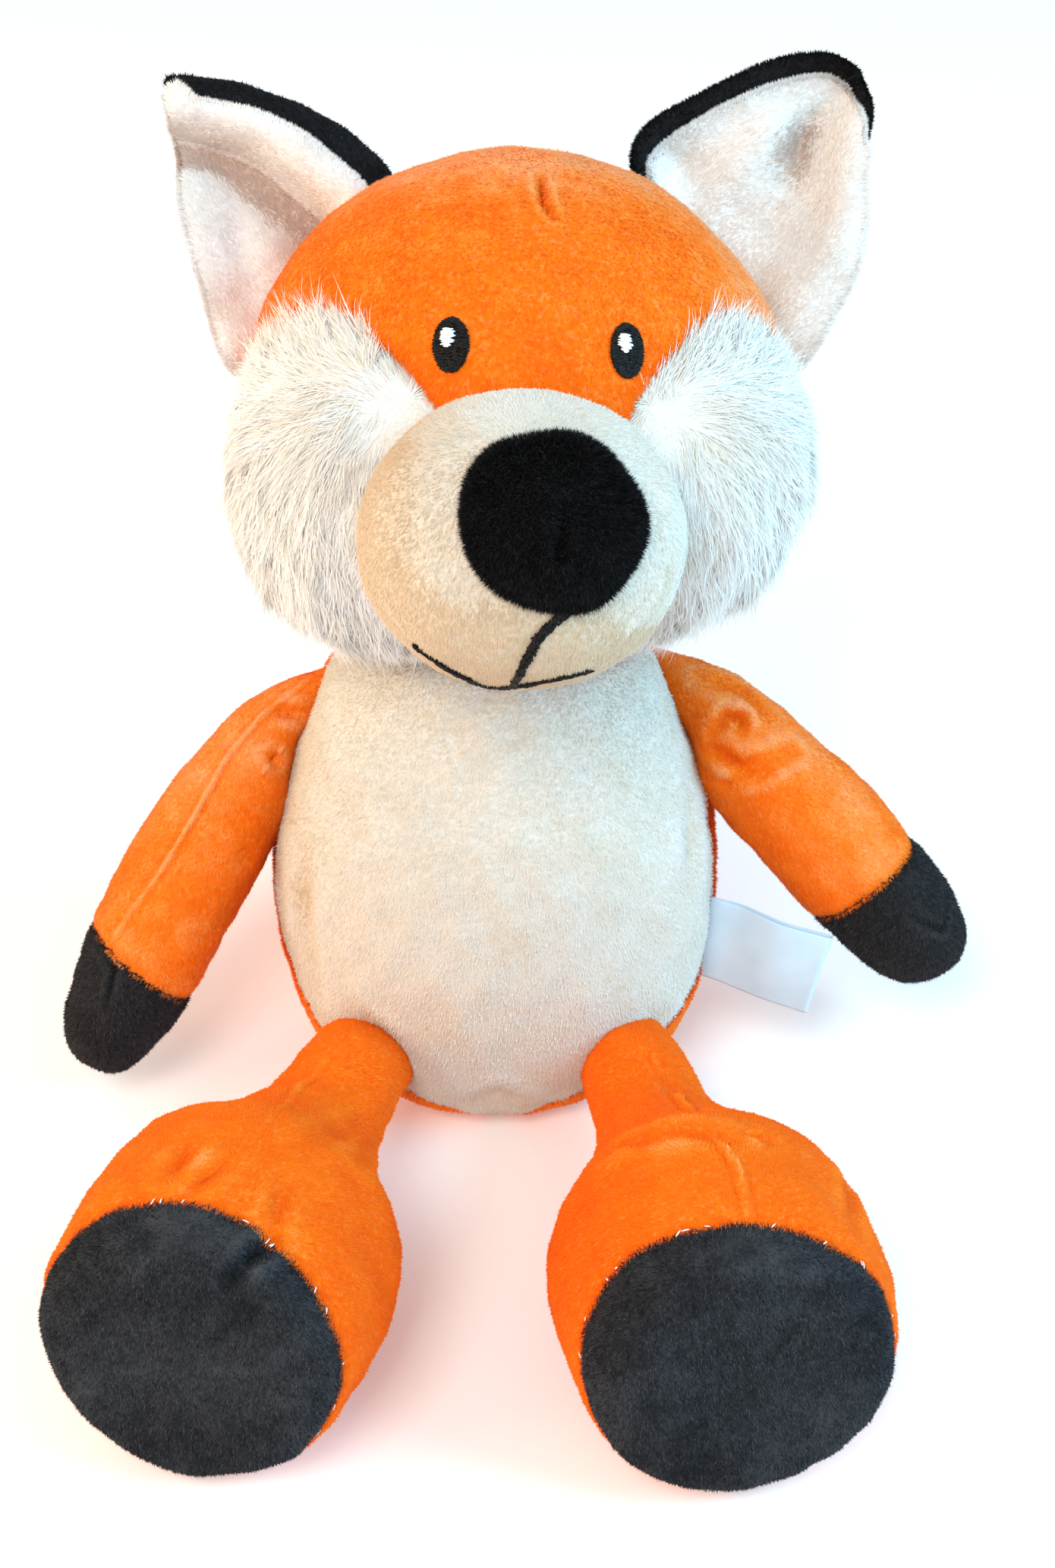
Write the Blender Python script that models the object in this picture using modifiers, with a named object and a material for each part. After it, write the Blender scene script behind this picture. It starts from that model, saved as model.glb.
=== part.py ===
"""A sitting plush fox: sewn plush covers over stuffing, with limbs, ears and tail hinged on their seams.

Metres, +Z up. The fox faces -Y and its left side is +X. The origin is the middle of its flat seat.
"""

import math
from dataclasses import dataclass

import bmesh
import bpy
from mathutils import Matrix, Vector

# Fabric, seams and the floor
FABRIC = 0.0024
SEAM_GAP = 0.0003
STUFFING_GAP = 0.0006
FLOOR_CUT = 0.0005
CUTTER_SPAN = 0.3

# Torso, reclined, with its foot sunk below the floor before it settles flat
TORSO_LENGTH = 0.155
TORSO_SUNK = 0.013
TORSO_HALF_WIDTH = 0.066
TORSO_HALF_DEPTH = 0.053
TORSO_RECLINE = math.radians(18)
SEAT_FORWARD = -0.004
SEAT_SETTLE_HEIGHT = 0.016
SEAT_SINK = 0.0115

# Belly panel: where its outline ends above and below, seen from the front
BELLY_SEAM_INSET = 0.002
BELLY_FOOT = 0.004
BELLY_HEAD = 0.138

# Bag of beans in the seat
POUCH_HALF_WIDTH = 0.034
POUCH_HALF_DEPTH = 0.026
POUCH_HEIGHT = 0.026
POUCH_BACK = 0.003

# Head: an ellipsoid that looks up at the viewer
HEAD_HALF_WIDTH = 0.0745
HEAD_HALF_DEPTH = 0.064
HEAD_HEIGHT = 0.140
HEAD_RISE = 0.188
HEAD_BACK = 0.054
HEAD_ASIDE = 0.0065
HEAD_PITCH = math.radians(38)
HEAD_TURN_AT_REST = math.radians(4)
HEAD_TILT = math.radians(1.5)
NECK_CLEARANCE = 0.0006

# Cheeks of long pile, each a bulge on the side of the head
CHEEK_HALF_WIDTH = 0.0368
CHEEK_HALF_DEPTH = 0.043
CHEEK_HEIGHT = 0.089
CHEEK_ASIDE = 0.0438
CHEEK_FORWARD = 0.012
CHEEK_DROP = 0.0245

# Muzzle and nose, both in the head's frame
MUZZLE_HALF_WIDTH = 0.0405
MUZZLE_HALF_HEIGHT = 0.0365
MUZZLE_ROOT_DEPTH = 0.022
MUZZLE_REACH = 0.102
MUZZLE_DROP = 0.0425
MUZZLE_ROOT_ASIDE = -0.006
MUZZLE_TIP_ASIDE = 0.002
NOSE_HALF_WIDTH = 0.0243
NOSE_HALF_HEIGHT = 0.0238
NOSE_LENGTH = 0.034
NOSE_PROUD = 0.0055
NOSE_RAISE = 0.001

# Embroidery
EYE_HALF_WIDTH = 0.0042
EYE_HALF_HEIGHT = 0.0066
EYE_SPACING = 0.0432
EYE_RAISE = 0.0052
STITCH_RELIEF = 0.0009
HIGHLIGHT_RADIUS = 0.0013
HIGHLIGHT_RAISE = 0.0022
HIGHLIGHT_ASIDE = -0.0008
MOUTH_THREAD_RADIUS = 0.0007

# Ears: two layers each, cupped, sewn to the head along their base
EAR_BASE_LENGTH = 0.067
EAR_HEIGHT = 0.070
EAR_TIP_SHIFT = 0.015
EAR_LAYER = 0.0019
EAR_RIM = 0.0032
EAR_CLEARANCE = 0.0007
EAR_AXIS_SINK = 0.0010
EAR_LAYER_GAP = 0.0005
EAR_SET_BACK = 0.004

# Arms
ARM_HALF_WIDTH = 0.0182
ARM_HALF_DEPTH = 0.0178
ARM_SEAM_LENGTH = 0.026
ARM_REACH_LEFT = 0.119
ARM_REACH_RIGHT = 0.126
PAW_LENGTH = 0.038

# Legs and feet
SHANK_HALF_WIDTH = 0.0158
FOOT_HALF_WIDTH = 0.0435
FOOT_HALF_HEIGHT = 0.0430
LEG_REACH_LEFT = 0.131
LEG_REACH_RIGHT = 0.129
SOLE_BULGE = 0.006
FOOT_LIFT = 0.0415
FOOT_SETTLE_HEIGHT = 0.010
FOOT_SINK = 0.003

# Tail, behind the body
TAIL_HALF_WIDTH = 0.023
TAIL_SEAM_LENGTH = 0.020
TAIL_REACH = 0.118
TAIL_TIP_LENGTH = 0.036
TAIL_FLOOR_CLEARANCE = 0.002

# Every limb is pinched flat where it is sewn on
PINCH_HALF_THICKNESS = 0.0038
PINCH_CLOSED_LENGTH = 0.015
ARM_ROOT_GAP = 0.0
LEG_ROOT_GAP = -0.0002
TAIL_ROOT_GAP = 0.0001

# Bare ribbon loop in the side seam
LABEL_WIDTH = 0.025
LABEL_LENGTH = 0.034
LABEL_LAYER = 0.0005
LABEL_LOOP_RADIUS = 0.0012
LABEL_SINK = 0.003

# Shapes along each form, as shares: (share of the length, share of the half width)
TORSO_SWELL_SHARES = ((0.0, 0.92), (0.25, 0.99), (0.42, 1.0), (0.6, 0.975), (0.8, 0.905), (1.0, 0.90))
EVEN_SHARES = ((0.0, 1.0), (1.0, 1.0))
MUZZLE_SWELL_SHARES = ((0.0, 0.96), (0.5, 1.0), (0.75, 0.97), (1.0, 0.86))
ARM_WIDTH_SHARES = ((0.0, 0.70), (0.12, 0.72), (0.3, 0.84), (0.55, 0.96), (0.8, 1.0), (1.0, 0.98))
ARM_DEPTH_SHARES = ((0.0, 0.0), (0.08, 0.12), (0.2, 0.62), (0.34, 0.88), (0.6, 0.97), (1.0, 1.0))
SHANK_SHARE = SHANK_HALF_WIDTH / FOOT_HALF_WIDTH
LEG_WIDTH_SHARES = ((0.0, SHANK_SHARE), (0.2, SHANK_SHARE), (0.36, 1.1 * SHANK_SHARE), (0.5, 0.60), (0.64, 0.91),
                    (0.8, 1.0), (1.0, 1.0))
LEG_DEPTH_SHARES = ((0.0, 0.0), (0.07, 0.1 * SHANK_SHARE), (0.2, 0.8 * SHANK_SHARE), (0.36, SHANK_SHARE),
                    (0.5, 0.57), (0.64, 0.91), (0.8, 1.0), (1.0, 1.0))
TAIL_WIDTH_SHARES = ((0.0, 0.42), (0.15, 0.5), (0.4, 0.9), (0.62, 1.0), (0.8, 0.84), (1.0, 0.55))
TAIL_DEPTH_SHARES = ((0.0, 0.0), (0.08, 0.08), (0.22, 0.5), (0.4, 0.9), (0.62, 1.0), (0.8, 0.84), (1.0, 0.55))
BELLY_OUTLINE_SHARES = ((0.0, 0.0), (0.05, 0.30), (0.10, 0.52), (0.16, 0.74), (0.24, 0.90), (0.34, 0.99),
                        (0.46, 1.0), (0.6, 0.975), (0.75, 0.9), (0.9, 0.79), (1.0, 0.72))

# Where the limbs are sewn on: share of the torso's length, and turn round it from the left side
SHOULDER_SHARE_LEFT = 0.795
SHOULDER_SHARE_RIGHT = 0.765
HIP_OUTER_SHARE = 0.2
HIP_INNER_SHARE = 0.17
HIP_OUTER_TURN = math.radians(38)
HIP_INNER_TURN = math.radians(61)
TAIL_SHARE = 0.40
LABEL_SHARE = 0.365
LABEL_TURN = math.radians(14)
LABEL_DROOP = math.radians(8)
SHOULDER_TURN = math.radians(1)

# Poses of the limbs
ARM_DROOP = math.radians(50)
ARM_SPREAD_LEFT = math.radians(47)
ARM_SPREAD_RIGHT = math.radians(34)
ARM_FORWARD_LEFT = math.radians(16)
ARM_FORWARD_RIGHT = math.radians(27)
LEG_SPLAY_LEFT = math.radians(12)
LEG_SPLAY_RIGHT = math.radians(17)
SOLE_YAW = math.radians(10)
SOLE_PITCH = math.radians(13)
TAIL_ASIDE_TURN = math.radians(14)
HANDLE_SHARE = 0.36
ARM_HANDLE_SHARE = 0.28
SHEAR_SHARE = 0.3

# Ears: outline powers and how far each edge cups, at the base and at the tip
EAR_TAPER_POWER = 1.9
EAR_ROUND_POWER = 0.6
EAR_TIP_SHARE = 0.985
EAR_AIM_TURN = math.radians(47.5)
EAR_PLACE_TURN = math.radians(55)
EAR_BASE_RADIUS_SHARE = 0.885
EAR_CUP_TOP_LEFT = (math.radians(16), math.radians(44))
EAR_CUP_LOW_LEFT = (math.radians(14), math.radians(30))
EAR_CUP_TOP_RIGHT = (math.radians(20), math.radians(118))
EAR_CUP_LOW_RIGHT = (math.radians(16), math.radians(42))

# Mouth, on the muzzle: shares of its length and turns from straight below
MOUTH_STEM_SHARES = (0.70, 0.86)
MOUTH_SMILE_SHARE = 0.70
MOUTH_SMILE_RISE_SHARE = 0.05
MOUTH_SMILE_TURN = math.radians(48)
MOUTH_POINTS = 9

# How round each form closes: 1 is round, less is blunter
TORSO_BLUNTNESS = 0.5
POUCH_BLUNTNESS = 0.6
MUZZLE_BLUNTNESS = 0.6
NOSE_BLUNTNESS = 0.8
SEWN_BLUNTNESS = 0.2
PAW_BLUNTNESS = 0.75
SOLE_BLUNTNESS = 0.17
TAIL_BLUNTNESS = 0.9

# How far an ear flops each way
EAR_FLOP = math.radians(15)

# Facets
BODY_SEGMENTS = 22
BODY_RINGS = 13
HEAD_SEGMENTS = 22
HEAD_RINGS = 13
CHEEK_SEGMENTS = 14
CHEEK_RINGS = 9
SNOUT_SEGMENTS = 18
SNOUT_RINGS = 11
LIMB_SEGMENTS = 12
LIMB_RINGS = 11
FOOT_SEGMENTS = 16
FOOT_RINGS = 13
EAR_CELLS = 8
DISC_SEGMENTS = 16
LABEL_BEND_CELLS = 4

ORANGE = (0.93, 0.20, 0.03, 1.0)
CREAM = (0.86, 0.77, 0.62, 1.0)
WHITE_PILE = (0.85, 0.80, 0.70, 1.0)
BLACK = (0.012, 0.012, 0.014, 1.0)
CHARCOAL = (0.03, 0.03, 0.034, 1.0)
WHITE = (0.82, 0.80, 0.78, 1.0)
STUFFING = (0.9, 0.9, 0.88, 1.0)
BEANS = (0.55, 0.50, 0.42, 1.0)
THREAD = (0.008, 0.008, 0.01, 1.0)

UP = Vector((0, 0, 1))
FRONT = Vector((0, -1, 0))
TINY_SHARE = 0.001
THIRD = 1 / 3


def smooth_step(value):
    """A rise from 0 to 1 that starts and ends level."""
    value = min(max(value, 0), 1)
    return value * value * (3 - 2 * value)


def swell(stations, share):
    """Value at a share of the length, on a smooth curve through the stations."""
    share = min(max(share, stations[0][0]), stations[-1][0])
    last = len(stations) - 1
    index = 0
    while index < last - 1 and share > stations[index + 1][0]:
        index += 1
    slopes = []
    for place in (index, index + 1):
        before = stations[max(place - 1, 0)]
        after = stations[min(place + 1, last)]
        slopes.append((after[1] - before[1]) / (after[0] - before[0]))
    (start, low), (end, high) = stations[index], stations[index + 1]
    span = end - start
    part = (share - start) / span
    rise = smooth_step(part)
    bend = part * (1 - part) * span
    return low + (high - low) * rise + bend * (slopes[0] * (1 - part) - slopes[1] * part)


def straight_path(start, end):
    """The four points of a straight path."""
    return start, start.lerp(end, THIRD), end.lerp(start, THIRD), end


@dataclass
class Form:
    """A stuffed form: rings along a path that swell and taper, and close round at both ends."""

    path: tuple
    side: Vector
    half_width: float
    half_depth: float
    width_shares: tuple = EVEN_SHARES
    depth_shares: tuple = EVEN_SHARES
    start_bluntness: float = 1.0
    end_bluntness: float = 1.0
    pinch: float = 0.0
    closed_start: float = 0.0
    shear: bool = False
    settle_height: float = 0.0
    sink: float = 0.0
    segments: int = LIMB_SEGMENTS
    rings: int = LIMB_RINGS

    def along(self, share):
        """Point of the path at a share of its length."""
        start, leave, arrive, end = self.path
        rest = 1 - share
        return (start * rest ** 3 + leave * (3 * rest * rest * share)
                + arrive * (3 * rest * share * share) + end * share ** 3)

    def heading(self, share):
        """Unit direction of the path at a share of its length."""
        low = min(max(share, 0), 1)
        return (self.along(low + TINY_SHARE) - self.along(low - TINY_SHARE)).normalized()

    def length(self):
        """Straight length from end to end."""
        return (self.path[3] - self.path[0]).length

    def axes(self, share):
        """Width and depth directions of the ring at a share of the length."""
        heading = self.heading(share)
        square = (self.side - heading * self.side.dot(heading)).normalized()
        turned = smooth_step(share / SHEAR_SHARE) if self.shear else 1.0
        width = self.side.lerp(square, turned).normalized()
        depth = heading.cross(width).normalized()
        return width, depth

    def settled(self, point, inset):
        """The point pressed up by the floor, as weight flattens the stuffing above it."""
        if self.sink <= 0:
            return point
        height = point.z - inset
        if height >= self.settle_height:
            return point
        travel = self.settle_height + self.sink
        room = self.settle_height + FLOOR_CUT
        left = max(1 - (self.settle_height - height) / travel, 0)
        pressed = self.settle_height - room * (1 - left ** (travel / room))
        return Vector((point.x, point.y, pressed + inset))

    def point(self, spot, turn, inset=0.0):
        """Surface point: spot from 0 to 1 end to end, turn round the path, inset below the surface."""
        length = self.length()
        inside = inset >= FABRIC and self.closed_start > 0
        start_inset = self.closed_start + inset - FABRIC if inside else inset
        share = start_inset / length + spot * (1 - (start_inset + inset) / length)
        bluntness = self.start_bluntness if spot < 0.5 else self.end_bluntness
        if inside and spot < 0.5:
            bluntness = 1.0
        round_off = (2 * math.sqrt(max(spot * (1 - spot), 0))) ** bluntness
        half_width = self.half_width * swell(self.width_shares, share) - inset
        half_depth = self.pinch + (self.half_depth - self.pinch) * swell(self.depth_shares, share) - inset
        width, depth = self.axes(share)
        ring = width * (half_width * math.cos(turn)) + depth * (half_depth * math.sin(turn))
        return self.settled(self.along(share) + ring * round_off, inset)

    def normal(self, spot, turn):
        """Unit outward direction of the surface."""
        along = self.point(spot + TINY_SHARE, turn) - self.point(spot - TINY_SHARE, turn)
        across = self.point(spot, turn + TINY_SHARE) - self.point(spot, turn - TINY_SHARE)
        outward = across.cross(along).normalized()
        if outward.dot(self.point(spot, turn) - self.along(spot)) < 0:
            outward = -outward
        return outward


@dataclass
class Hinge:
    """A sewn seam that works as a hinge: its middle and its direction."""

    point: Vector
    axis: Vector
    empty: object = None


def collection(name):
    """A new collection in the scene."""
    made = bpy.data.collections.new(name)
    bpy.context.scene.collection.children.link(made)
    return made


def link(name, mesh, group, hinge=None):
    """An object for a mesh given in world places, with its origin on its hinge."""
    thing = bpy.data.objects.new(name, mesh)
    group.objects.link(thing)
    if hinge is not None:
        mesh.transform(Matrix.Translation(-hinge.point))
        thing.parent = hinge.empty
    return thing


def finish_mesh(bm, name):
    """A smooth shaded mesh from a bmesh, with its faces pointing out."""
    bmesh.ops.recalc_face_normals(bm, faces=bm.faces)
    if bm.calc_volume(signed=True) < 0:
        bmesh.ops.reverse_faces(bm, faces=bm.faces)
    mesh = bpy.data.meshes.new(name)
    bm.to_mesh(mesh)
    bm.free()
    mesh.shade_smooth()
    return mesh


def form_mesh(name, form, inset=0.0):
    """The form's surface, as a sphere drawn onto it."""
    bm = bmesh.new()
    bmesh.ops.create_uvsphere(bm, u_segments=form.segments, v_segments=form.rings, radius=1)
    for vert in bm.verts:
        spot = (1 - vert.co.z) / 2
        turn = math.atan2(vert.co.y, vert.co.x)
        vert.co = form.point(spot, turn, inset)
    bmesh.ops.triangulate(bm, faces=bm.faces, quad_method="FIXED")
    return finish_mesh(bm, name)


def cutter(name, mesh):
    """A hidden object that shapes others."""
    thing = link(name, mesh, CUTTERS)
    thing.hide_render = True
    thing.display_type = "WIRE"
    return thing


def form_cutter(name, form, inset):
    """A hidden copy of a form, shrunk by inset, or grown where inset is negative."""
    return cutter(name, form_mesh(name, form, inset))


def boolean(thing, tool, operation="DIFFERENCE", solver="EXACT"):
    """Cut, join or keep what is common with a hidden object."""
    step = thing.modifiers.new(operation.lower() + "_" + tool.name, "BOOLEAN")
    step.object = tool
    step.operation = operation
    step.solver = solver


def block(name, point, direction):
    """A hidden block that fills everything ahead of a plane."""
    bm = bmesh.new()
    bmesh.ops.create_cube(bm, size=1)
    bmesh.ops.translate(bm, verts=bm.verts, vec=Vector((0, 0, 0.5)))
    bmesh.ops.scale(bm, verts=bm.verts, vec=Vector((CUTTER_SPAN, CUTTER_SPAN, CUTTER_SPAN)))
    turned = direction.to_track_quat("Z", "Y").to_matrix().to_4x4()
    bmesh.ops.transform(bm, matrix=Matrix.Translation(point) @ turned, verts=bm.verts)
    return cutter(name, finish_mesh(bm, name))


def paint(thing, color, roughness):
    """Give the object a material of its own."""
    material = bpy.data.materials.new(thing.name)
    material.use_nodes = True
    shader = material.node_tree.nodes["Principled BSDF"]
    shader.inputs["Base Color"].default_value = color
    shader.inputs["Roughness"].default_value = roughness
    shader.inputs["Metallic"].default_value = 0
    thing.data.materials.append(material)
    return thing


def part(name, mesh, color, roughness, hinge=None):
    """A named piece of the fox."""
    return paint(link(name, mesh, FOX, hinge), color, roughness)


def hinge_empty(name, hinge):
    """An empty on a hinge, which carries the pieces that turn there."""
    empty = bpy.data.objects.new(name, None)
    empty.location = hinge.point
    FOX.objects.link(empty)
    hinge.empty = empty
    return hinge


def torso_form(half_depth):
    """The torso, reclined: an egg that tapers to the shoulders."""
    lean = Vector((0, math.sin(TORSO_RECLINE), math.cos(TORSO_RECLINE)))
    start = Vector((0, SEAT_FORWARD, 0)) - lean * TORSO_SUNK
    end = start + lean * TORSO_LENGTH
    return Form(path=straight_path(start, end), side=Vector((1, 0, 0)),
                half_width=TORSO_HALF_WIDTH, half_depth=half_depth,
                width_shares=TORSO_SWELL_SHARES, depth_shares=TORSO_SWELL_SHARES,
                start_bluntness=TORSO_BLUNTNESS, end_bluntness=TORSO_BLUNTNESS,
                settle_height=SEAT_SETTLE_HEIGHT, sink=SEAT_SINK,
                segments=BODY_SEGMENTS, rings=BODY_RINGS)


def belly_prism(name, torso, grow):
    """A block with the outline of the belly panel, in front of the torso's middle."""
    start, end = torso.path[0], torso.path[3]
    lean = (end - start).normalized()
    back = lean.cross(Vector((1, 0, 0))).normalized()
    if back.y < 0:
        back = -back
    foot = start + lean * (BELLY_FOOT - grow)
    reach = BELLY_HEAD - BELLY_FOOT + TORSO_SUNK + 2 * grow
    half_width = TORSO_HALF_WIDTH - BELLY_SEAM_INSET + grow
    outline = [Vector((half_width * wide, reach * tall, 0)) for tall, wide in BELLY_OUTLINE_SHARES]
    mirrored = [Vector((-spot.x, spot.y, 0)) for spot in reversed(outline[1:])]
    curve = bpy.data.curves.new(name, "CURVE")
    curve.dimensions = "2D"
    curve.fill_mode = "BOTH"
    curve.extrude = CUTTER_SPAN / 4
    spline = curve.splines.new("POLY")
    spline.points.add(len(outline) + len(mirrored) - 1)
    for spot, place in zip(spline.points, outline + mirrored):
        spot.co = (place.x, place.y, 0, 1)
    spline.use_cyclic_u = True
    guide = bpy.data.objects.new(name + "_outline", curve)
    CUTTERS.objects.link(guide)
    bpy.context.view_layer.update()
    mesh = bpy.data.meshes.new_from_object(guide.evaluated_get(bpy.context.evaluated_depsgraph_get()))
    bpy.data.objects.remove(guide)
    bm = bmesh.new()
    bm.from_mesh(mesh)
    bmesh.ops.remove_doubles(bm, verts=bm.verts, dist=SEAM_GAP / 10)
    basis = Matrix((Vector((1, 0, 0)), lean, -back)).transposed().to_4x4()
    place = Matrix.Translation(foot + back * (grow - CUTTER_SPAN / 4)) @ basis
    bmesh.ops.transform(bm, matrix=place, verts=bm.verts)
    return cutter(name, finish_mesh(bm, name))


def build_body(torso, floor):
    """Back and belly covers, the stuffing and the bag of beans."""
    lining = form_cutter("torso_lining", torso, FABRIC)
    back = part("body_back", form_mesh("body_back", torso), ORANGE, 0.9)
    boolean(back, belly_prism("belly_window", torso, SEAM_GAP))
    boolean(back, lining)
    boolean(back, floor)
    belly = part("belly_panel", form_mesh("belly_panel", torso), CREAM, 0.9)
    boolean(belly, belly_prism("belly_outline", torso, 0), "INTERSECT")
    boolean(belly, lining)
    boolean(belly, floor)
    core = part("body_stuffing", form_mesh("body_stuffing", torso, FABRIC + STUFFING_GAP), STUFFING, 1.0)
    rest = FABRIC + STUFFING_GAP - FLOOR_CUT
    foot = Vector((0, POUCH_BACK, rest - FLOOR_CUT))
    head = foot + UP * POUCH_HEIGHT
    pouch_form = Form(path=straight_path(foot, head), side=Vector((1, 0, 0)),
                      half_width=POUCH_HALF_WIDTH, half_depth=POUCH_HALF_DEPTH,
                      start_bluntness=POUCH_BLUNTNESS, end_bluntness=POUCH_BLUNTNESS)
    pouch = part("bean_pouch", form_mesh("bean_pouch", pouch_form), BEANS, 1.0)
    under = block("under_lining", UP * rest, -UP)
    boolean(pouch, under)
    boolean(core, form_cutter("pouch_space", pouch_form, -SEAM_GAP))


def head_matrix():
    """The head's frame: X to its left, Y to its back, Z to its crown."""
    pitch = Matrix.Rotation(-HEAD_PITCH, 4, "X")
    turn = Matrix.Rotation(HEAD_TURN_AT_REST, 4, "Z")
    tilt = Matrix.Rotation(HEAD_TILT, 4, "Y")
    return Matrix.Translation(Vector((HEAD_ASIDE, HEAD_BACK, HEAD_RISE))) @ pitch @ turn @ tilt


def upright_form(matrix, middle, half_width, half_depth, height, **more):
    """A form that stands in the head's frame around a middle."""
    low = matrix @ (middle - UP * (height / 2))
    high = matrix @ (middle + UP * (height / 2))
    side = matrix.to_3x3() @ Vector((1, 0, 0))
    return Form(path=straight_path(low, high), side=side,
                half_width=half_width, half_depth=half_depth, **more)


def facing_form(matrix, root, tip, half_width, half_height, **more):
    """A form that reaches forward in the head's frame, from root to tip."""
    root = matrix @ root
    tip = matrix @ tip
    side = matrix.to_3x3() @ Vector((1, 0, 0))
    return Form(path=straight_path(root, tip), side=side,
                half_width=half_width, half_depth=half_height, **more)


def build_head(matrix, socket_form, hinge):
    """The head's covers, its cheeks, muzzle, nose, embroidery and stuffing."""
    skull = upright_form(matrix, Vector((0, 0, 0)), HEAD_HALF_WIDTH, HEAD_HALF_DEPTH, HEAD_HEIGHT,
                         segments=HEAD_SEGMENTS, rings=HEAD_RINGS)
    muzzle = facing_form(matrix, Vector((MUZZLE_ROOT_ASIDE, -MUZZLE_ROOT_DEPTH, -MUZZLE_DROP)),
                         Vector((MUZZLE_TIP_ASIDE, -MUZZLE_REACH, -MUZZLE_DROP)),
                         MUZZLE_HALF_WIDTH, MUZZLE_HALF_HEIGHT, width_shares=MUZZLE_SWELL_SHARES,
                         depth_shares=MUZZLE_SWELL_SHARES, start_bluntness=MUZZLE_BLUNTNESS,
                         end_bluntness=MUZZLE_BLUNTNESS,
                         segments=SNOUT_SEGMENTS, rings=SNOUT_RINGS)
    nose_tip = Vector((MUZZLE_TIP_ASIDE, -MUZZLE_REACH - NOSE_PROUD, NOSE_RAISE - MUZZLE_DROP))
    nose_root = nose_tip + Vector((0, NOSE_LENGTH, 0))
    nose = facing_form(matrix, nose_root, nose_tip, NOSE_HALF_WIDTH, NOSE_HALF_HEIGHT,
                       start_bluntness=NOSE_BLUNTNESS, end_bluntness=NOSE_BLUNTNESS,
                       segments=SNOUT_SEGMENTS, rings=SNOUT_RINGS)

    socket = form_cutter("neck_socket", socket_form, -NECK_CLEARANCE)
    socket_lining = form_cutter("neck_socket_lining", socket_form, -NECK_CLEARANCE - FABRIC)
    socket_core = form_cutter("neck_socket_core", socket_form, -NECK_CLEARANCE - FABRIC - STUFFING_GAP)
    lining = form_cutter("skull_lining", skull, FABRIC)
    boolean(lining, socket_lining)
    muzzle_window = form_cutter("muzzle_window", muzzle, -SEAM_GAP)
    muzzle_lining = form_cutter("muzzle_lining", muzzle, FABRIC)

    cap = part("head_cap", form_mesh("head_cap", skull), ORANGE, 0.9, hinge)
    boolean(cap, socket)
    boolean(cap, lining)
    for side, name in ((1, "cheek_left"), (-1, "cheek_right")):
        middle = Vector((side * CHEEK_ASIDE, -CHEEK_FORWARD, -CHEEK_DROP))
        cheek_form = upright_form(matrix, middle, CHEEK_HALF_WIDTH, CHEEK_HALF_DEPTH, CHEEK_HEIGHT,
                                  segments=CHEEK_SEGMENTS, rings=CHEEK_RINGS)
        boolean(cap, form_cutter(name + "_window", cheek_form, -SEAM_GAP))
        cheek = part(name, form_mesh(name, cheek_form), WHITE_PILE, 1.0, hinge)
        boolean(cheek, lining)
        boolean(cheek, muzzle_window)
        boolean(cheek, socket)
    boolean(cap, muzzle_window)

    snout = part("muzzle", form_mesh("muzzle", muzzle), CREAM, 0.9, hinge)
    boolean(snout, muzzle_lining)
    boolean(snout, lining)
    boolean(snout, form_cutter("nose_window", nose, -SEAM_GAP))

    ball = part("nose", form_mesh("nose", nose), BLACK, 0.9, hinge)
    boolean(ball, form_cutter("nose_lining", nose, FABRIC))
    boolean(ball, muzzle_lining)

    core = part("head_stuffing", form_mesh("head_stuffing", skull, FABRIC + STUFFING_GAP), STUFFING, 1.0, hinge)
    boolean(core, form_cutter("muzzle_core", muzzle, FABRIC + STUFFING_GAP), "UNION")
    boolean(core, form_cutter("nose_core", nose, FABRIC + STUFFING_GAP), "UNION")
    boolean(core, socket_core)

    build_eyes(matrix, skull, hinge)
    build_mouth(muzzle, hinge)
    return skull


def disc(name, half_width, half_height, middle, direction, up):
    """An oval rod that stands square to a surface."""
    bm = bmesh.new()
    bmesh.ops.create_cone(bm, cap_ends=True, segments=DISC_SEGMENTS, radius1=1, radius2=1, depth=1)
    bmesh.ops.scale(bm, verts=bm.verts, vec=Vector((half_width, half_height, 2 * EYE_HALF_HEIGHT)))
    across = up.cross(direction).normalized()
    upright = direction.cross(across).normalized()
    basis = Matrix((across, upright, direction)).transposed().to_4x4()
    bmesh.ops.transform(bm, matrix=Matrix.Translation(middle) @ basis, verts=bm.verts)
    return finish_mesh(bm, name)


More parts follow.
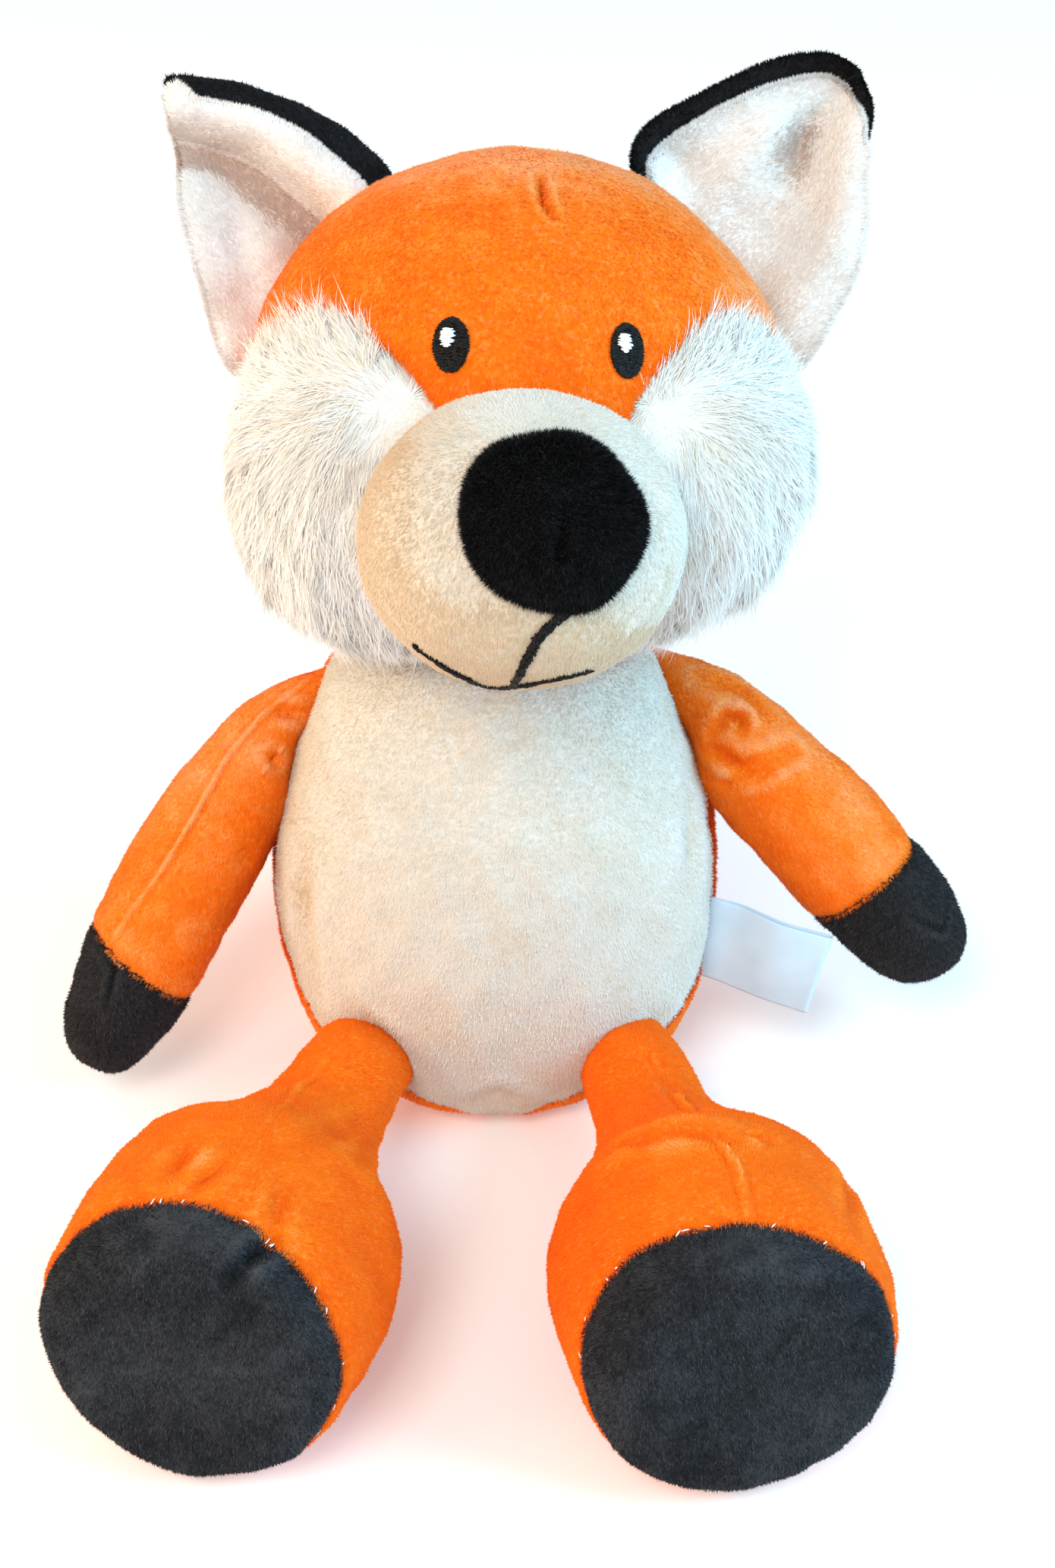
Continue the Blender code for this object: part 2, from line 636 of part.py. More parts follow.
def build_eyes(matrix, skull, hinge):
    """Raised oval embroidery on the cap, with a small highlight stitched on top."""
    under = form_cutter("eye_underside", skull, -SEAM_GAP)
    face = form_cutter("eye_face", skull, -SEAM_GAP - STITCH_RELIEF)
    over = form_cutter("highlight_underside", skull, -2 * SEAM_GAP - STITCH_RELIEF)
    shine = form_cutter("highlight_face", skull, -2 * SEAM_GAP - 2 * STITCH_RELIEF)
    rotation = matrix.to_3x3()
    up = rotation @ UP
    for side, name in ((1, "left"), (-1, "right")):
        aside = side * EYE_SPACING / 2
        level = 1 - (aside / HEAD_HALF_WIDTH) ** 2 - (EYE_RAISE / (HEAD_HEIGHT / 2)) ** 2
        ahead = HEAD_HALF_DEPTH * math.sqrt(level)
        spot = Vector((aside, -ahead, EYE_RAISE))
        away = Vector((aside / HEAD_HALF_WIDTH ** 2, -ahead / HEAD_HALF_DEPTH ** 2,
                       EYE_RAISE / (HEAD_HEIGHT / 2) ** 2))
        direction = (rotation @ away).normalized()
        middle = matrix @ spot
        eye = part("eye_" + name, disc("eye_" + name, EYE_HALF_WIDTH, EYE_HALF_HEIGHT, middle, direction, up),
                   THREAD, 0.5, hinge)
        boolean(eye, face, "INTERSECT")
        boolean(eye, under)
        raised = middle + up * HIGHLIGHT_RAISE + rotation @ Vector((HIGHLIGHT_ASIDE, 0, 0))
        glint = part("eye_highlight_" + name,
                     disc("eye_highlight_" + name, HIGHLIGHT_RADIUS, HIGHLIGHT_RADIUS, raised, direction, up),
                     WHITE, 0.5, hinge)
        boolean(glint, shine, "INTERSECT")
        boolean(glint, over)


def thread_mesh(name, line):
    """A stitched line as a thin closed tube."""
    curve = bpy.data.curves.new(name, "CURVE")
    curve.dimensions = "3D"
    curve.bevel_depth = MOUTH_THREAD_RADIUS
    curve.bevel_resolution = 1
    curve.use_fill_caps = True
    spline = curve.splines.new("POLY")
    spline.points.add(len(line) - 1)
    for spot, place in zip(spline.points, line):
        spot.co = (*place, 1)
    guide = bpy.data.objects.new(name + "_line", curve)
    CUTTERS.objects.link(guide)
    bpy.context.view_layer.update()
    mesh = bpy.data.meshes.new_from_object(guide.evaluated_get(bpy.context.evaluated_depsgraph_get()))
    bpy.data.objects.remove(guide)
    bm = bmesh.new()
    bm.from_mesh(mesh)
    bmesh.ops.remove_doubles(bm, verts=bm.verts, dist=SEAM_GAP / 10)
    return finish_mesh(bm, name)


def build_mouth(muzzle, hinge):
    """A stitched stem under the nose, and a smile across the muzzle's underside."""
    lift = SEAM_GAP + MOUTH_THREAD_RADIUS
    low, high = MOUTH_STEM_SHARES
    below = -math.pi / 2 if muzzle.point(0.5, -math.pi / 2).z < muzzle.point(0.5, math.pi / 2).z else math.pi / 2

    def on_muzzle(spot, turn):
        return muzzle.point(spot, turn) + muzzle.normal(spot, turn) * lift

    steps = [step / (MOUTH_POINTS - 1) for step in range(MOUTH_POINTS)]
    stem = [on_muzzle(low + (high - low) * step, below) for step in steps]
    smile = []
    for step in steps:
        swing = 2 * step - 1
        spot = MOUTH_SMILE_SHARE + MOUTH_SMILE_RISE_SHARE * (swing * swing - 0.5)
        smile.append(on_muzzle(spot, below + swing * MOUTH_SMILE_TURN))
    part("mouth_stem", thread_mesh("mouth_stem", stem), THREAD, 0.6, hinge)
    part("mouth_smile", thread_mesh("mouth_smile", smile), THREAD, 0.6, hinge)


def ear_point(frame, cup_top, cup_low, across, rise):
    """A point of the cupped ear: across from -1 to 1 along the base, rise from 0 to 1 to the tip."""
    origin, along, outward, back = frame
    half_base = EAR_BASE_LENGTH / 2
    taper = (1 - (EAR_TIP_SHARE * rise) ** EAR_TAPER_POWER) ** EAR_ROUND_POWER
    reach = across * half_base * taper
    low, high = cup_top if across > 0 else cup_low
    radius = half_base / (low + (high - low) * rise)
    angle = reach / radius
    spot = origin + along * (radius * math.sin(angle) + EAR_TIP_SHIFT * rise)
    return spot + outward * (EAR_HEIGHT * rise) - back * (radius * (1 - math.cos(angle)))


def ear_layer(name, frame, cups, side, shrink):
    """One layer of an ear: a fine sheet, moved off the middle surface and given its thickness."""
    bm = bmesh.new()
    bmesh.ops.create_grid(bm, x_segments=EAR_CELLS, y_segments=EAR_CELLS, size=1)
    for vert in bm.verts:
        across = vert.co.x * shrink
        rise = (vert.co.y + 1) / 2 * shrink
        step = TINY_SHARE
        here = ear_point(frame, *cups, across, rise)
        over = ear_point(frame, *cups, across + step, rise) - here
        up = ear_point(frame, *cups, across, rise + step) - here
        normal = over.cross(up).normalized()
        if normal.dot(frame[3]) < 0:
            normal = -normal
        vert.co = here + normal * (side * (EAR_LAYER_GAP + EAR_LAYER) / 2)
    mesh = bpy.data.meshes.new(name)
    bm.to_mesh(mesh)
    bm.free()
    mesh.shade_smooth()
    return mesh


def ear_seat(name, skull, hinge, angle, clearance):
    """A hidden copy of the skull, turned about an ear's hinge, which clears the ear's base."""
    mesh = form_mesh(name, skull, -clearance)
    turned = Matrix.Rotation(angle, 4, hinge.axis)
    mesh.transform(Matrix.Translation(hinge.point) @ turned @ Matrix.Translation(-hinge.point))
    return cutter(name, mesh)


def build_ears(matrix, skull):
    """Two ears, each a dark back and a pale lining, cut to sit on the head as far as they flop."""
    rotation = matrix.to_3x3()
    cups = {"left": (EAR_CUP_TOP_LEFT, EAR_CUP_LOW_LEFT), "right": (EAR_CUP_TOP_RIGHT, EAR_CUP_LOW_RIGHT)}
    shrink = 1 - EAR_RIM / (EAR_BASE_LENGTH / 2)
    hinges = []
    for side, name in ((1, "left"), (-1, "right")):
        aim = Vector((side * math.sin(EAR_AIM_TURN), 0, math.cos(EAR_AIM_TURN)))
        place = Vector((side * math.sin(EAR_PLACE_TURN), 0, math.cos(EAR_PLACE_TURN)))
        along = rotation @ Vector((-side * aim.z, 0, abs(aim.x)))
        outward = rotation @ aim
        toward = rotation @ place
        back = rotation @ Vector((0, 1, 0))
        radius = 1 / math.sqrt((place.x / HEAD_HALF_WIDTH) ** 2 + (place.z / (HEAD_HEIGHT / 2)) ** 2)
        middle = matrix @ Vector((0, EAR_SET_BACK, 0))
        origin = middle + toward * (radius * EAR_BASE_RADIUS_SHARE)
        seat_middle = middle + toward * (radius - EAR_AXIS_SINK)
        hinge = hinge_empty("ear_%s_hinge" % name, Hinge(seat_middle, along))
        frame = (origin, along, outward, back)
        seats = [ear_seat("ear_%s_seat" % name, skull, hinge, 0, EAR_CLEARANCE),
                 ear_seat("ear_%s_seat_ahead" % name, skull, hinge, -EAR_FLOP, SEAM_GAP),
                 ear_seat("ear_%s_seat_behind" % name, skull, hinge, EAR_FLOP, SEAM_GAP)]
        for layer, way, size, color in (("back", 1, 1, BLACK), ("lining", -1, shrink, WHITE)):
            title = "ear_%s_%s" % (name, layer)
            sheet = part(title, ear_layer(title, frame, cups[name], way, size), color, 0.9, hinge)
            solid = sheet.modifiers.new("thickness", "SOLIDIFY")
            solid.thickness = EAR_LAYER
            solid.offset = 0
            for seat in seats:
                boolean(sheet, seat, solver="MANIFOLD")
        hinges.append(hinge)
    return hinges


def seam_root(torso, upper, lower):
    """Where something is sewn on between two places of the torso: its root, outward and seam directions."""
    spot = (upper[0] + lower[0]) / 2
    turn = (upper[1] + lower[1]) / 2
    outward = torso.normal(spot, turn)
    seam = (torso.point(*upper) - torso.point(*lower)).normalized()
    seam = (seam - outward * seam.dot(outward)).normalized()
    return torso.point(spot, turn), outward, seam


def seam_hinge(name, root, outward, seam, gap):
    """The place where a limb starts, its gap away from the torso, and the hinge in its pinched end."""
    root = root + outward * gap
    return root, hinge_empty(name, Hinge(root + outward * PINCH_HALF_THICKNESS, seam))


def sleeve_and_end(name, end_name, form, split, colors, hinge, floor=None):
    """A limb: its sleeve, the cover of its far end and its stuffing, split square to its path."""
    tip = form.path[3]
    heading = form.heading(1)
    lining = form_cutter(name + "_lining", form, FABRIC)
    sleeve = part(name + "_sleeve", form_mesh(name + "_sleeve", form), colors[0], 0.9, hinge)
    boolean(sleeve, block(name + "_sleeve_end", tip - heading * (split + SEAM_GAP), heading))
    boolean(sleeve, lining)
    cover = part(end_name, form_mesh(end_name, form), colors[1], 0.9, hinge)
    boolean(cover, block(end_name + "_start", tip - heading * split, -heading))
    boolean(cover, lining)
    if floor is not None:
        boolean(sleeve, floor)
        boolean(cover, floor)
    part(name + "_stuffing", form_mesh(name + "_stuffing", form, FABRIC + STUFFING_GAP), STUFFING, 1.0, hinge)


def build_arms(torso):
    """Two arms, sewn into the side seams and pinched flat there."""
    poses = (("left", 1, SHOULDER_SHARE_LEFT, ARM_REACH_LEFT, ARM_SPREAD_LEFT, ARM_FORWARD_LEFT),
             ("right", -1, SHOULDER_SHARE_RIGHT, ARM_REACH_RIGHT, ARM_SPREAD_RIGHT, ARM_FORWARD_RIGHT))
    half_share = ARM_SEAM_LENGTH / 2 / TORSO_LENGTH
    hinges = []
    for name, side, share, reach, spread, forward in poses:
        turn = -SHOULDER_TURN if side > 0 else math.pi + SHOULDER_TURN
        root, outward, seam = seam_root(torso, (share + half_share, turn), (share - half_share, turn))
        root, hinge = seam_hinge("arm_%s_hinge" % name, root, outward, -side * seam, ARM_ROOT_GAP)
        down = Vector((side * math.sin(spread), 0, -math.cos(spread)))
        aim = (down * math.cos(forward) + FRONT * math.sin(forward)).normalized()
        leave = (outward * math.cos(ARM_DROOP) - seam * math.sin(ARM_DROOP)).normalized()
        tip = root + aim * reach
        first = root + leave * (reach * ARM_HANDLE_SHARE)
        form = Form(path=(root, first, tip.lerp(first, ARM_HANDLE_SHARE), tip), side=seam,
                    half_width=ARM_HALF_WIDTH, half_depth=ARM_HALF_DEPTH,
                    width_shares=ARM_WIDTH_SHARES, depth_shares=ARM_DEPTH_SHARES,
                    start_bluntness=SEWN_BLUNTNESS, end_bluntness=PAW_BLUNTNESS, pinch=PINCH_HALF_THICKNESS,
                    closed_start=PINCH_CLOSED_LENGTH, shear=True)
        sleeve_and_end("arm_" + name, "arm_%s_paw" % name, form, PAW_LENGTH, (ORANGE, BLACK), hinge)
        hinges.append(hinge)
    return hinges


def build_legs(torso, floor):
    """Two legs with round feet that rest on the floor, sewn on along slanting hip seams."""
    poses = (("left", 1, LEG_REACH_LEFT, LEG_SPLAY_LEFT), ("right", -1, LEG_REACH_RIGHT, LEG_SPLAY_RIGHT))
    hinges = []
    for name, side, reach, splay in poses:
        outer = -HIP_OUTER_TURN if side > 0 else math.pi + HIP_OUTER_TURN
        inner = -HIP_INNER_TURN if side > 0 else math.pi + HIP_INNER_TURN
        root, outward, seam = seam_root(torso, (HIP_OUTER_SHARE, outer), (HIP_INNER_SHARE, inner))
        root, hinge = seam_hinge("leg_%s_hinge" % name, root, outward, -side * seam, LEG_ROOT_GAP)
        aim = Vector((side * math.sin(splay), -math.cos(splay), 0))
        sole = Vector((side * math.sin(SOLE_YAW), -math.cos(SOLE_YAW), math.tan(SOLE_PITCH))).normalized()
        tip = Vector((root.x, root.y, FOOT_LIFT)) + aim * reach
        form = Form(path=(root, root + outward * (reach * HANDLE_SHARE / 2),
                          tip - sole * (reach * HANDLE_SHARE), tip), side=seam,
                    half_width=FOOT_HALF_WIDTH, half_depth=FOOT_HALF_HEIGHT,
                    width_shares=LEG_WIDTH_SHARES, depth_shares=LEG_DEPTH_SHARES,
                    start_bluntness=SEWN_BLUNTNESS, end_bluntness=SOLE_BLUNTNESS, pinch=PINCH_HALF_THICKNESS,
                    closed_start=PINCH_CLOSED_LENGTH, shear=True,
                    settle_height=FOOT_SETTLE_HEIGHT, sink=FOOT_SINK,
                    segments=FOOT_SEGMENTS, rings=FOOT_RINGS)
        sleeve_and_end("leg_" + name, "leg_%s_sole" % name, form, SOLE_BULGE, (ORANGE, CHARCOAL), hinge, floor)
        hinges.append(hinge)
    return hinges


def build_tail(torso):
    """A full tail with a pale tip, sewn upright into the back seam."""
    half_share = TAIL_SEAM_LENGTH / 2 / TORSO_LENGTH
    back = math.pi / 2
    root, outward, seam = seam_root(torso, (TAIL_SHARE + half_share, back), (TAIL_SHARE - half_share, back))
    root, hinge = seam_hinge("tail_hinge", root, outward, seam, TAIL_ROOT_GAP)
    aim = Vector((-math.sin(TAIL_ASIDE_TURN), math.cos(TAIL_ASIDE_TURN), 0))
    rest = TAIL_HALF_WIDTH + TAIL_FLOOR_CLEARANCE
    tip = Vector((root.x, root.y, rest)) + aim * TAIL_REACH
    first = root + outward * (TAIL_REACH * HANDLE_SHARE)
    form = Form(path=(root, Vector((first.x, first.y, rest)), tip.lerp(first, HANDLE_SHARE), tip), side=seam,
                half_width=TAIL_HALF_WIDTH, half_depth=TAIL_HALF_WIDTH,
                width_shares=TAIL_WIDTH_SHARES, depth_shares=TAIL_DEPTH_SHARES,
                start_bluntness=SEWN_BLUNTNESS, end_bluntness=TAIL_BLUNTNESS, pinch=PINCH_HALF_THICKNESS,
                closed_start=PINCH_CLOSED_LENGTH, shear=True)
    sleeve_and_end("tail", "tail_tip", form, TAIL_TIP_LENGTH, (ORANGE, CREAM), hinge)
    return hinge


def build_label(torso):
    """A bare ribbon, folded into a loop and sewn into the left side seam."""
    half_share = LABEL_WIDTH / 2 / TORSO_LENGTH
    root, outward, seam = seam_root(torso, (LABEL_SHARE + half_share, -LABEL_TURN),
                                    (LABEL_SHARE - half_share, -LABEL_TURN))
    root = root - outward * LABEL_SINK
    outward, seam = (outward * math.cos(LABEL_DROOP) - seam * math.sin(LABEL_DROOP),
                     seam * math.cos(LABEL_DROOP) + outward * math.sin(LABEL_DROOP))
    across = outward.cross(seam).normalized()
    straight = LABEL_SINK + LABEL_LENGTH - LABEL_LOOP_RADIUS
    section = [Vector((0, LABEL_LOOP_RADIUS))]
    for cell in range(LABEL_BEND_CELLS + 1):
        angle = math.pi / 2 - math.pi * cell / LABEL_BEND_CELLS
        section.append(Vector((straight, 0)) + LABEL_LOOP_RADIUS * Vector((math.cos(angle), math.sin(angle))))
    section.append(Vector((0, -LABEL_LOOP_RADIUS)))
    bm = bmesh.new()
    bmesh.ops.create_grid(bm, x_segments=len(section) - 1, y_segments=1, size=1)
    for vert in bm.verts:
        index = round((vert.co.x + 1) / 2 * (len(section) - 1))
        spot = section[index]
        vert.co = root + outward * spot.x + across * spot.y + seam * (vert.co.y * LABEL_WIDTH / 2)
    mesh = bpy.data.meshes.new("care_label")
    bm.to_mesh(mesh)
    bm.free()
    label = part("care_label", mesh, WHITE, 0.5)
    solid = label.modifiers.new("thickness", "SOLIDIFY")
    solid.thickness = LABEL_LAYER
    solid.offset = 0
    boolean(label, form_cutter("label_seat", torso, -SEAM_GAP))


for leftover in list(bpy.data.objects):
    bpy.data.objects.remove(leftover)

FOX = collection("plush_fox")
CUTTERS = collection("cutters")

TORSO = torso_form(TORSO_HALF_DEPTH)
FLOOR = block("floor", Vector((0, 0, 0)), -UP)
build_body(TORSO, FLOOR)

LEAN = TORSO.heading(0.5)
NECK = hinge_empty("head_hinge", Hinge(TORSO.path[3].copy(), LEAN))
HEAD = head_matrix()
SKULL = build_head(HEAD, torso_form(TORSO_HALF_WIDTH), NECK)
EAR_HINGES = build_ears(HEAD, SKULL)
for ear_hinge in EAR_HINGES:
    ear_hinge.empty.parent = NECK.empty
    ear_hinge.empty.location = ear_hinge.point - NECK.point
ARM_HINGES = build_arms(TORSO)
LEG_HINGES = build_legs(TORSO, FLOOR)
TAIL_HINGE = build_tail(TORSO)
build_label(TORSO)

TURNS = [("head_turn", NECK), ("ear_left_flop", EAR_HINGES[0]), ("ear_right_flop", EAR_HINGES[1]),
         ("arm_left_swing", ARM_HINGES[0]), ("arm_right_swing", ARM_HINGES[1]),
         ("leg_left_lift", LEG_HINGES[0]), ("leg_right_lift", LEG_HINGES[1]), ("tail_wag", TAIL_HINGE)]
for title, turning in TURNS:
    where = ", ".join("%.5f" % value for value in turning.point)
    way = ", ".join("%.5f" % value for value in turning.axis)
    print("hinge %s at (%s) along (%s)" % (title, where, way))
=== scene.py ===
"""The looks of a sitting plush fox: sewn covers with short pile, long-haired cheeks and embroidery.

Metres, +Z up. The fox faces -Y and its left side is +X. Pixels are those of a picture of 1390 by 2065.
"""

import math
from dataclasses import dataclass, field

import bpy
import numpy as np
from mathutils import Matrix, Vector
from mathutils.bvhtree import BVHTree


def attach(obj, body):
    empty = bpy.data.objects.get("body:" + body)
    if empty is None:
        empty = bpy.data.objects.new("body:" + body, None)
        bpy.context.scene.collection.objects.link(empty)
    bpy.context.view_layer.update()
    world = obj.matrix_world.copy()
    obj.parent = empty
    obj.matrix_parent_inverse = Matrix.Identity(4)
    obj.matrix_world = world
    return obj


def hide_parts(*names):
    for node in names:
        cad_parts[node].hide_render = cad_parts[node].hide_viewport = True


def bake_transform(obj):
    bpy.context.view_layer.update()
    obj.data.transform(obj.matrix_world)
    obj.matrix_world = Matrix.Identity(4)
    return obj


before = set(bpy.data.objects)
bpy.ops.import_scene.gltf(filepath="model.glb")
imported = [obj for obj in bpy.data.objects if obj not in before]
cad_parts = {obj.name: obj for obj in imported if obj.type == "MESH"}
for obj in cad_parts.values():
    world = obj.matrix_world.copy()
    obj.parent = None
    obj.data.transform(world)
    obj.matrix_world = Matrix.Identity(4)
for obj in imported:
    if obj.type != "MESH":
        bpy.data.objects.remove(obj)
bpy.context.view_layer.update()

# Picture and camera
PICTURE_WIDTH = 1390
PICTURE_HEIGHT = 2065
CAMERA_TARGET = Vector((0.0095, 0, 0.1))
CAMERA_DISTANCE = 0.640
CAMERA_ELEVATION = math.radians(38)
PIXELS_PER_METRE = 4700
CAMERA_SLOPE = PICTURE_HEIGHT / 2 / (PIXELS_PER_METRE * CAMERA_DISTANCE)

# Fabric, seams and the floor
FABRIC = 0.0024
SEAM_GAP = 0.0001
STUFFING_GAP = 0.0006
FLOOR_CUT = 0.0005
HEM_DEPTH = 0.0022
FILLING_SINK = 0.0004

# Torso
TORSO_LENGTH = 0.155
TORSO_SUNK = 0.013
TORSO_HALF_WIDTH = 0.066
TORSO_HALF_DEPTH = 0.053
TORSO_RECLINE = math.radians(18)
SEAT_FORWARD = -0.004
SEAT_SETTLE_HEIGHT = 0.016
SEAT_SINK = 0.0115
BELLY_SEAM_INSET = 0.002
BELLY_FOOT = 0.0065
BELLY_HEAD = 0.138
POUCH_HALF_WIDTH = 0.034
POUCH_HALF_DEPTH = 0.026
POUCH_HEIGHT = 0.026
POUCH_BACK = 0.003
POUCH_INSET = 0.001

# Head
HEAD_HALF_WIDTH = 0.0745
HEAD_HALF_DEPTH = 0.064
HEAD_HEIGHT = 0.140
HEAD_RISE = 0.188
HEAD_BACK = 0.054
HEAD_ASIDE = 0.0065
HEAD_PITCH = math.radians(38)
HEAD_TURN_AT_REST = math.radians(4)
HEAD_TILT = math.radians(1.5)
NECK_CLEARANCE = 0.0006
CHEEK_MIDDLES = {"left": (0.0335, -0.0133, -0.0142), "right": (-0.0336, -0.0139, -0.0191)}
CHEEK_RADII = {"left": (0.0452, 0.0467, 0.0453), "right": (0.0442, 0.0473, 0.0487)}
MUZZLE_HALF_WIDTH = 0.0405
MUZZLE_HALF_HEIGHT = 0.0365
MUZZLE_ROOT_DEPTH = 0.022
MUZZLE_REACH = 0.102
MUZZLE_DROP = 0.0425
MUZZLE_ROOT_ASIDE = -0.006
MUZZLE_TIP_ASIDE = 0.002
NOSE_HALF_WIDTH = 0.0240
NOSE_HALF_HEIGHT = 0.0222
NOSE_LENGTH = 0.034
NOSE_PROUD = 0.0055
NOSE_RAISE = 0.001

# Ears
EAR_HEIGHT = 0.070
EAR_LAYER = 0.0019
EAR_AXIS_SINK = 0.0010
EAR_LAYER_GAP = 0.0005
EAR_SET_BACK = 0.004
EAR_AIM_TURN = math.radians(47.5)
EAR_PLACE_TURN = math.radians(55)
EAR_BASE_RADIUS_SHARE = 0.885

# Limbs and tail
ARM_HALF_WIDTH = 0.0202
ARM_HALF_DEPTH = 0.0188
ARM_SINK = 0.003
ARM_RAISES = {"left": 0.0095, "right": 0.0075}
ARM_TIP_SHIFTS = {"left": (-0.004, 0.003, 0.004), "right": (0.0, 0.005, 0.0062)}
LEG_SINK = 0.007
PAW_TILTS = {"left": (0, 0, 0), "right": (-0.36, 0, 0)}
SOLE_TILTS = {"left": (-0.17, 0, 0.10), "right": (-0.08, 0, 0.14)}
ARM_SEAM_LENGTH = 0.026
PAW_LENGTHS = {"left": 0.038, "right": 0.0345}
FOOT_HALF_WIDTH = 0.0435
FOOT_HALF_HEIGHT = 0.0430
SHANK_SHARE = 0.0158 / FOOT_HALF_WIDTH
SOLE_BULGE = 0.006
FOOT_LIFT = 0.0415
FOOT_SETTLE_HEIGHT = 0.010
FOOT_SINK = 0.003
TAIL_HALF_WIDTH = 0.023
TAIL_SEAM_LENGTH = 0.020
TAIL_REACH = 0.118
TAIL_TIP_LENGTH = 0.036
TAIL_FLOOR_CLEARANCE = 0.002
PINCH_HALF_THICKNESS = 0.0038
LABEL_WIDTH = 0.025
LABEL_LENGTH = 0.034
LABEL_LAYER = 0.0005
LABEL_LOOP_RADIUS = 0.0012
LABEL_SINK = 0.003

# Shapes along each form: share of the length, share of the half width
TORSO_SWELL_SHARES = ((0.0, 0.92), (0.25, 0.99), (0.42, 1.0), (0.6, 0.975), (0.8, 0.905), (1.0, 0.90))
EVEN_SHARES = ((0.0, 1.0), (1.0, 1.0))
MUZZLE_SWELL_SHARES = ((0.0, 0.96), (0.5, 1.0), (0.75, 0.97), (1.0, 0.86))
ARM_WIDTH_SHARES = ((0.0, 0.80), (0.12, 0.82), (0.3, 0.86), (0.55, 0.93), (0.8, 1.0), (1.0, 1.0))
ARM_DEPTH_SHARES = ((0.0, 0.15), (0.08, 0.35), (0.2, 0.72), (0.34, 0.90), (0.6, 0.97), (1.0, 1.0))
LEG_WIDTH_SHARES = ((0.0, SHANK_SHARE), (0.2, SHANK_SHARE), (0.36, 1.1 * SHANK_SHARE), (0.5, 0.60),
                    (0.64, 0.91), (0.8, 1.0), (1.0, 1.0))
LEG_DEPTH_SHARES = ((0.0, 0.5 * SHANK_SHARE), (0.07, 0.7 * SHANK_SHARE), (0.2, SHANK_SHARE),
                    (0.36, SHANK_SHARE), (0.5, 0.57), (0.64, 0.91), (0.8, 1.0), (1.0, 1.0))
TAIL_WIDTH_SHARES = ((0.0, 0.42), (0.15, 0.5), (0.4, 0.9), (0.62, 1.0), (0.8, 0.84), (1.0, 0.55))
TAIL_DEPTH_SHARES = ((0.0, 0.0), (0.08, 0.08), (0.22, 0.5), (0.4, 0.9), (0.62, 1.0), (0.8, 0.84), (1.0, 0.55))
BELLY_OUTLINE_SHARES = ((0.0, 0.0), (0.05, 0.30), (0.10, 0.52), (0.16, 0.74), (0.24, 0.90), (0.34, 0.99),
                        (0.46, 1.0), (0.6, 0.975), (0.75, 0.9), (0.9, 0.79), (1.0, 0.72))

# Poses of the limbs, and where they are sewn on
SHOULDER_TURN = math.radians(1)
ARMS = (("left", 1, 0.795, 0.119, math.radians(47), math.radians(16)),
        ("right", -1, 0.765, 0.126, math.radians(34), math.radians(27)))
ARM_DROOP = math.radians(56)
ARM_HANDLE_SHARE = 0.28
LEGS = (("left", 1, 0.131, math.radians(12)), ("right", -1, 0.129, math.radians(17)))
HIP_OUTER = (0.2, math.radians(38))
HIP_INNER = (0.17, math.radians(61))
SOLE_YAW = math.radians(10)
SOLE_PITCH = math.radians(13)
HANDLE_SHARE = 0.36
SHEAR_SHARE = 0.3
TAIL_SHARE = 0.40
TAIL_ASIDE_TURN = math.radians(14)
LABEL_SHARE = 0.365
LABEL_TURN = math.radians(14)
LABEL_DROOP = math.radians(8)

# How far seams are moved outward from where two forms meet, and how deep forms are sunk
CAP_CHEEK_SHIFT = -0.001
CAP_SNOUT_SHIFT = -0.0008
SNOUT_NOSE_SHIFT = 0.0009
SNOUT_ROOT_SHIFT = 0.0015
NOSE_ROOT_SHIFT = 0.0004
CHEEK_ROOT_SHIFT = 0.0012
CHEEK_SNOUT_SHIFT = 0.0005
EAR_ROOT_SHIFT = 0.0012
NOSE_SINK = 0.0006
CHEEK_SINK = 0.0016

# Fur of the cheeks: strands, steps, length, half width and gathering of each coat, and where it changes
COATS = (("undercoat", 62000, 2, 0.0070, 0.00026, 0.15), ("fur", 28000, 4, 0.0114, 0.00017, 0.42))
CHEEK_SEEDS = {"left": 51, "right": 52}
FUR_CLUMPS = 800
FUR_CLEARANCE = 0.0017
FUR_TRIMS = 7
FUR_TRIM_SHARE = 0.72
FUR_SAG = 0.0012
FUR_SPREAD_FROM = (0.030, -0.055, -0.008)
FUR_FALL = (0.002, -0.040)
FUR_RISE = (-0.004, 0.018)
FUR_NEAR_SKULL = (0.011, -0.010)
FUR_NEAR_SNOUT = 0.016
FUR_INNER_ASIDE = (0.042, -0.012)
FUR_INNER_HEIGHT = (-0.022, 0.012)
FUR_PATCH_SIZE = 0.025
FUR_PALE_REACH = 0.02
NOSE_PILE_LENGTH = 0.0021
NOSE_PILE_WIDTH = 0.00038
NOSE_PATCH_SIZE = 0.008

# Embroidery
EYES = {"right": ((594, 454), 55), "left": ((826, 462), 56)}
EYE_HALF_WIDTH = 0.0042
EYE_HALF_HEIGHT = 0.0066
EYE_ROW = 0.00034
EYE_STITCH = 0.0021
EYE_STRAY = 0.00008
EYE_LIFT = 0.0004
EYE_THREAD = 0.00075
BORDER_THREAD = 0.0007
BORDER_STITCHES = (0.0011, 0.0019)
GLINT_LOW = -0.0024
GLINT_HIGH = 0.0022
GLINT_ROW = 0.00036
GLINT_STRAY = 0.00022
GLINT_ASIDE = 0.0008
GLINT_RAISE = 0.0018
GLINT_LIFT = 0.0010
GLINT_WIDTH = 0.0042
GLINT_HALF_HEIGHT = 0.0026
GLINT_THREAD = 0.00068
PROBE_HEIGHT = 0.01
MOUTH_LINES = {"mouth_stem": ((742, 808), (728, 820), (707, 842), (697, 862), (686, 884), (678, 899)),
               "mouth_smile": ((550, 850), (580, 872), (612, 890), (645, 902), (678, 902), (708, 897),
                               (742, 890), (775, 882))}
MOUTH_SEED = 61
MOUTH_ROWS = 9
